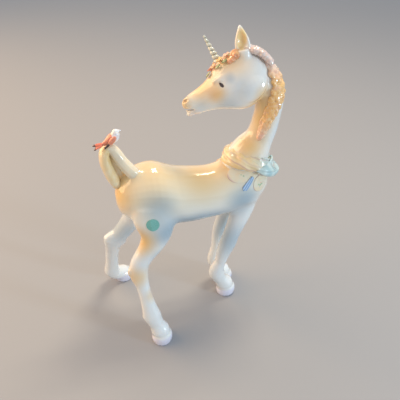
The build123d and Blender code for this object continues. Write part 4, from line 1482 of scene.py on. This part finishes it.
def glaze_of_lobe(name, middle, radius, sprig):
    """Warm paint with a pink rim and a small sprig."""
    bench = Bench(name)
    colour = bench.mottle(160.0, 0.35, 0.65, (0.84, 0.68, 0.46), (0.76, 0.75, 0.62), 0.5)
    away = bench.away_from(middle)
    rim = bench.ease(away, (radius - 1.9) * MM, (radius - 0.6) * MM)
    colour = bench.mix(rim * 0.55, colour, dusky_pink)
    for aside, up, tint, size in sprig_dabs:
        place = sprig + Vector((aside, 0, up))
        colour = bench.airbrush(colour, tint, place, size, 0.85, squash=(1, 4, 1), soft=0.5)
    return bench.glaze(colour)


def glaze_of_ribbon():
    """Blue with paler slanting ribs."""
    bench = Bench("ribbon_glaze")
    slant = bench.axis("X") * 0.75 - bench.axis("Z") * 0.66
    stripes = (slant / MM * 3.6).sine()
    colour = bench.mix(bench.ease(stripes, -0.3, 0.5) * 0.6, (0.24, 0.40, 0.62), (0.62, 0.72, 0.82))
    return bench.glaze(colour, bump=stripes * 1.2, strength=0.25)


def glaze_of_bird():
    """Coral behind, pale before, with a grey cap; the places start at the bird's feet."""
    bench = Bench("bird_glaze")
    ahead = bench.measure(bird_feet, (1, 0, 0)) / MM
    colour = bench.mix(bench.ease(ahead, -1.43, -0.03), (0.80, 0.27, 0.15), (0.84, 0.80, 0.78))
    cap = bird_feet + Vector((5.37, 0, 11.6))
    colour = bench.airbrush(colour, (0.50, 0.46, 0.50), cap, 1.6, 0.6)
    return bench.glaze(colour)


def glaze_of_wing():
    """Coral with a dark tip on each wing."""
    bench = Bench("wing_glaze")
    colour = bench.mottle(500.0, 0.4, 0.6, (0.84, 0.34, 0.20), (0.80, 0.26, 0.15))
    for side in (-1, 1):
        tip = bird_feet + Vector((-5.43, side * 3.4, 2.3))
        colour = bench.airbrush(colour, pitch, tip, 3.6, soft=1.6)
    return bench.glaze(colour)


def glaze_of_forked_tail():
    """Coral above, pale below, with dark ends."""
    bench = Bench("bird_tail_glaze")
    ahead = bench.measure(bird_feet, (1, 0, 0)) / MM
    up = bench.measure(bird_feet, (0, 0, 1)) / MM
    lower = bench.ease(ahead * 0.26 - up, -4.11, -3.31)
    colour = bench.mix(lower, (0.80, 0.20, 0.10), (0.80, 0.70, 0.66))
    colour = bench.mix(bench.ease(ahead, -12.83, -11.63), (0.09, 0.02, 0.02), colour)
    return bench.glaze(colour)


def paper_of_dot():
    """Matt teal paper with short fibres."""
    bench = Bench("teal_paper")
    fibres = bench.noise(1400.0, 4.0)
    colour = bench.mix(bench.ease(fibres, 0.4, 0.6) * 0.5, (0.17, 0.43, 0.37), (0.27, 0.53, 0.45))
    relief = bench.bump(fibres, 0.3, 0.1)
    return bench.finish(Base_Color=colour, Roughness=0.6 + fibres * 0.2, Normal=relief)


def dress(piece, material, slot, *nodes):
    """The piece gets its glaze, rides on the figurine and stands for its nodes."""
    piece.data.materials.clear()
    piece.data.materials.append(material)
    for face in piece.data.polygons:
        face.use_smooth = True
        face.material_index = 0
    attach(piece, "root")
    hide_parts(*nodes)


# Making the figurine

body = model_body_and_legs()
dress(body, glaze_of_body(), "white_porcelain", "torso", *feet)
head = model_head_and_neck()
dress(head, glaze_of_head(), "white_porcelain", "head", "neck", "left_ear", "right_ear")
dress(model_horn(), glaze_of_horn(), "white_porcelain", "horn")
dress(model_mane(), glaze_of_mane(), "mane_tint", *[f"mane_lock_{number}" for number in range(1, 10)])
dress(model_forelock(), glaze_of_curl(), "mane_tint", "forelock")

flower_glazes = (
    mottled_glaze("rose_petals", (0.80, 0.20, 0.13), (0.86, 0.40, 0.26)),
    mottled_glaze("peach_petals", (0.86, 0.34, 0.14), (0.88, 0.52, 0.26)),
    mottled_glaze("yellow_petals", (0.86, 0.50, 0.16), (0.86, 0.40, 0.20)),
    mottled_glaze("pink_petals", (0.82, 0.34, 0.24), (0.88, 0.54, 0.36)),
    mottled_glaze("apricot_petals", (0.86, 0.40, 0.20), (0.88, 0.58, 0.36)),
)
flower_pattern = model_flower()
for number, (shares, tint) in enumerate(zip(flower_shares, flower_glazes), 1):
    change = on_brow(shares) @ Matrix.Rotation(number, 4, "Z")
    flower = copied(flower_pattern, f"pressed_flower_{number}", change)
    dress(flower, tint, "flower_tint", f"garland_flower_{number}")
leaf_pattern = model_leaf()
leaf_glaze = mottled_glaze("leaf_glaze", (0.22, 0.27, 0.11), (0.44, 0.42, 0.18), 500.0)
for number, shares in enumerate(leaf_shares, 1):
    leaf = copied(leaf_pattern, f"pressed_leaf_{number}", on_brow(shares))
    dress(leaf, leaf_glaze, "leaf_tint", f"garland_leaf_{number}")
for pattern in (flower_pattern, leaf_pattern):
    bpy.data.objects.remove(pattern)

dress(model_shawl(), glaze_of_shawl(), "collar_tint", "collar_band")
ruffle_glaze = mottled_glaze("ruffle_glaze", (0.60, 0.71, 0.67), (0.37, 0.55, 0.57), 160.0, 0.35, 0.65)
ruffle_pattern = model_ruffle()
far_ruffle = mirrored(ruffle_pattern, "left_ruffle", 0)
near_ruffle = copied(ruffle_pattern, "right_ruffle", Matrix.Identity(4))
bpy.data.objects.remove(ruffle_pattern)
dress(far_ruffle, ruffle_glaze, "collar_tint", "left_bow_loop")
dress(near_ruffle, ruffle_glaze, "collar_tint", "right_bow_loop")
dress(model_knot(), ruffle_glaze, "collar_tint", "bow_knot")

for side, name in ((1, "left"), (-1, "right")):
    sides = Vector((1, side, 1))
    lobe = lay_lobe(
        f"{name}_shoulder_lobe", body, sides, lobe_shares, lobe_facing, lobe_radius,
        lift=0.25, thickness=1.0,
    )
    middle = middle_of(lobe)
    sprig = middle + Vector((1, 0, -4))
    glaze = glaze_of_lobe(f"{name}_lobe_glaze", middle, lobe_painted_radius, sprig)
    dress(lobe, glaze, "lobe_tint", f"{name}_lobe")

    breast = lay_lobe(
        f"{name}_breast_lobe", body, sides, breast_lobe_shares, breast_lobe_facing, breast_lobe_radius,
        lift=0.05, thickness=0.7,
    )
    middle = middle_of(breast)
    sprig = middle + Vector((0, 0, -1.5))
    glaze = glaze_of_lobe(f"{name}_chest_glaze", middle, breast_lobe_radius, sprig)
    dress(breast, glaze, "lobe_tint", f"{name}_chest_lobe")

    way = Vector(ribbon_way).normalized()
    centre = on_torso(*Vector(ribbon_start_shares) * sides) + way * ribbon_reach
    corners = ribbon_corners(way, side)
    ribbon = lay_patch(
        f"{name}_ribbon", body, centre, (0, side, 0), corners, ribbon_inset_reach, lift=0.25, thickness=1.0,
    )
    dress(ribbon, glaze_of_ribbon(), "ribbon_tint", f"{name}_ribbon_end")

strand_glaze = mottled_glaze("strand_glaze", (0.88, 0.75, 0.54), (0.80, 0.69, 0.51), 90.0, 0.35, 0.65, 0.16)
strand = model_tail_piece("tail_upper_strand", strand_rows, 7)
dress(strand, strand_glaze, "white_porcelain", "tail_strand")
lock_glaze = mottled_glaze("lock_glaze", cream, (0.85, 0.62, 0.30), 90.0, 0.35, 0.65, 0.16)
lock = model_tail_piece("tail_hanging_lock", lock_rows, 9, lock_filler_rows)
dress(lock, lock_glaze, "tail_tint", "tail_lock")

dress(model_bird_body(), glaze_of_bird(), "bird_tint", "bird_body")
dress(model_forked_tail(), glaze_of_forked_tail(), "bird_tint", "bird_tail")
wing_glaze = glaze_of_wing()
near_wing = model_wing()
dress(mirrored(near_wing, "bird_wing_far", bird_feet.y), wing_glaze, "bird_tint", "bird_left_wing")
dress(near_wing, wing_glaze, "bird_tint", "bird_right_wing")

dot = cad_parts["lot_dot"]
dot.data.materials.clear()
dot.data.materials.append(paper_of_dot())


# The studio

def light_panel(name, place, aim, size, power, colour):
    """A soft panel of light; place and aim are in mm, the size in metres."""
    lamp = bpy.data.lights.new(name, "AREA")
    lamp.shape = "RECTANGLE"
    lamp.size, lamp.size_y = size
    lamp.energy = power
    lamp.color = colour
    holder = bpy.data.objects.new(name, lamp)
    bpy.context.scene.collection.objects.link(holder)
    holder.location = Vector(place) * MM
    holder.rotation_euler = (Vector(aim) - Vector(place)).to_track_quat("-Z", "Y").to_euler()


def lay_floor():
    put_down_everything()
    bpy.ops.mesh.primitive_plane_add(size=6, location=(0, 0, 0))
    floor = bpy.context.object
    floor.name = "studio_floor"
    bench = Bench("pale_floor")
    colour = bench.mix(bench.noise(6.0, 3.0) * 0.15, (0.34, 0.34, 0.35), (0.31, 0.31, 0.32))
    floor.data.materials.append(bench.finish(Base_Color=colour, Roughness=0.7))
    return floor


lay_floor()

figurine_middle = (0, 0, 120)
light_panel("warm_softbox", (-820, 420, 520), figurine_middle, (1.1, 1.0), 12, (1.0, 0.64, 0.32))
light_panel("cool_softbox", (640, -560, 210), (20, 0, 110), (0.10, 0.09), 3.2, (0.62, 0.82, 1.0))
pane_size = (0.085, 0.085)
pane_pitch = 110
first_pane = Vector((210, 190, 1000))
for row in range(3):
    for column in range(2):
        name = f"window_pane_{row}_{column}"
        place = first_pane + Vector((row, column, 0)) * pane_pitch
        light_panel(name, place, figurine_middle, pane_size, 0.85, (1.0, 0.84, 0.62))

world = bpy.data.worlds.new("studio")
bpy.context.scene.world = world
world.use_nodes = True
air = world.node_tree.nodes["Background"]
air.inputs["Color"].default_value = (0.76, 0.81, 0.87, 1)
air.inputs["Strength"].default_value = 0.82

view = bpy.data.cameras.new("camera")
view.lens = 37.15
view.sensor_width = 36
view.clip_start = 0.01
camera = bpy.data.objects.new("camera", view)
bpy.context.scene.collection.objects.link(camera)
# Where the camera stands, and the three ways of its frame
camera_place = Vector((-75.86, -250.12, 314.38))
camera_right = Vector((0.95232, -0.30458, 0.01782))
camera_up = Vector((0.17226, 0.58497, 0.79255))
camera_back = Vector((-0.25182, -0.75169, 0.60954))
camera_turned = axes_to_matrix(camera_right, camera_up, camera_back)
camera.matrix_world = Matrix.Translation(camera_place * MM) @ camera_turned.to_4x4()
bpy.context.scene.camera = camera
bpy.context.scene.view_settings.view_transform = "Standard"

put_down_everything()
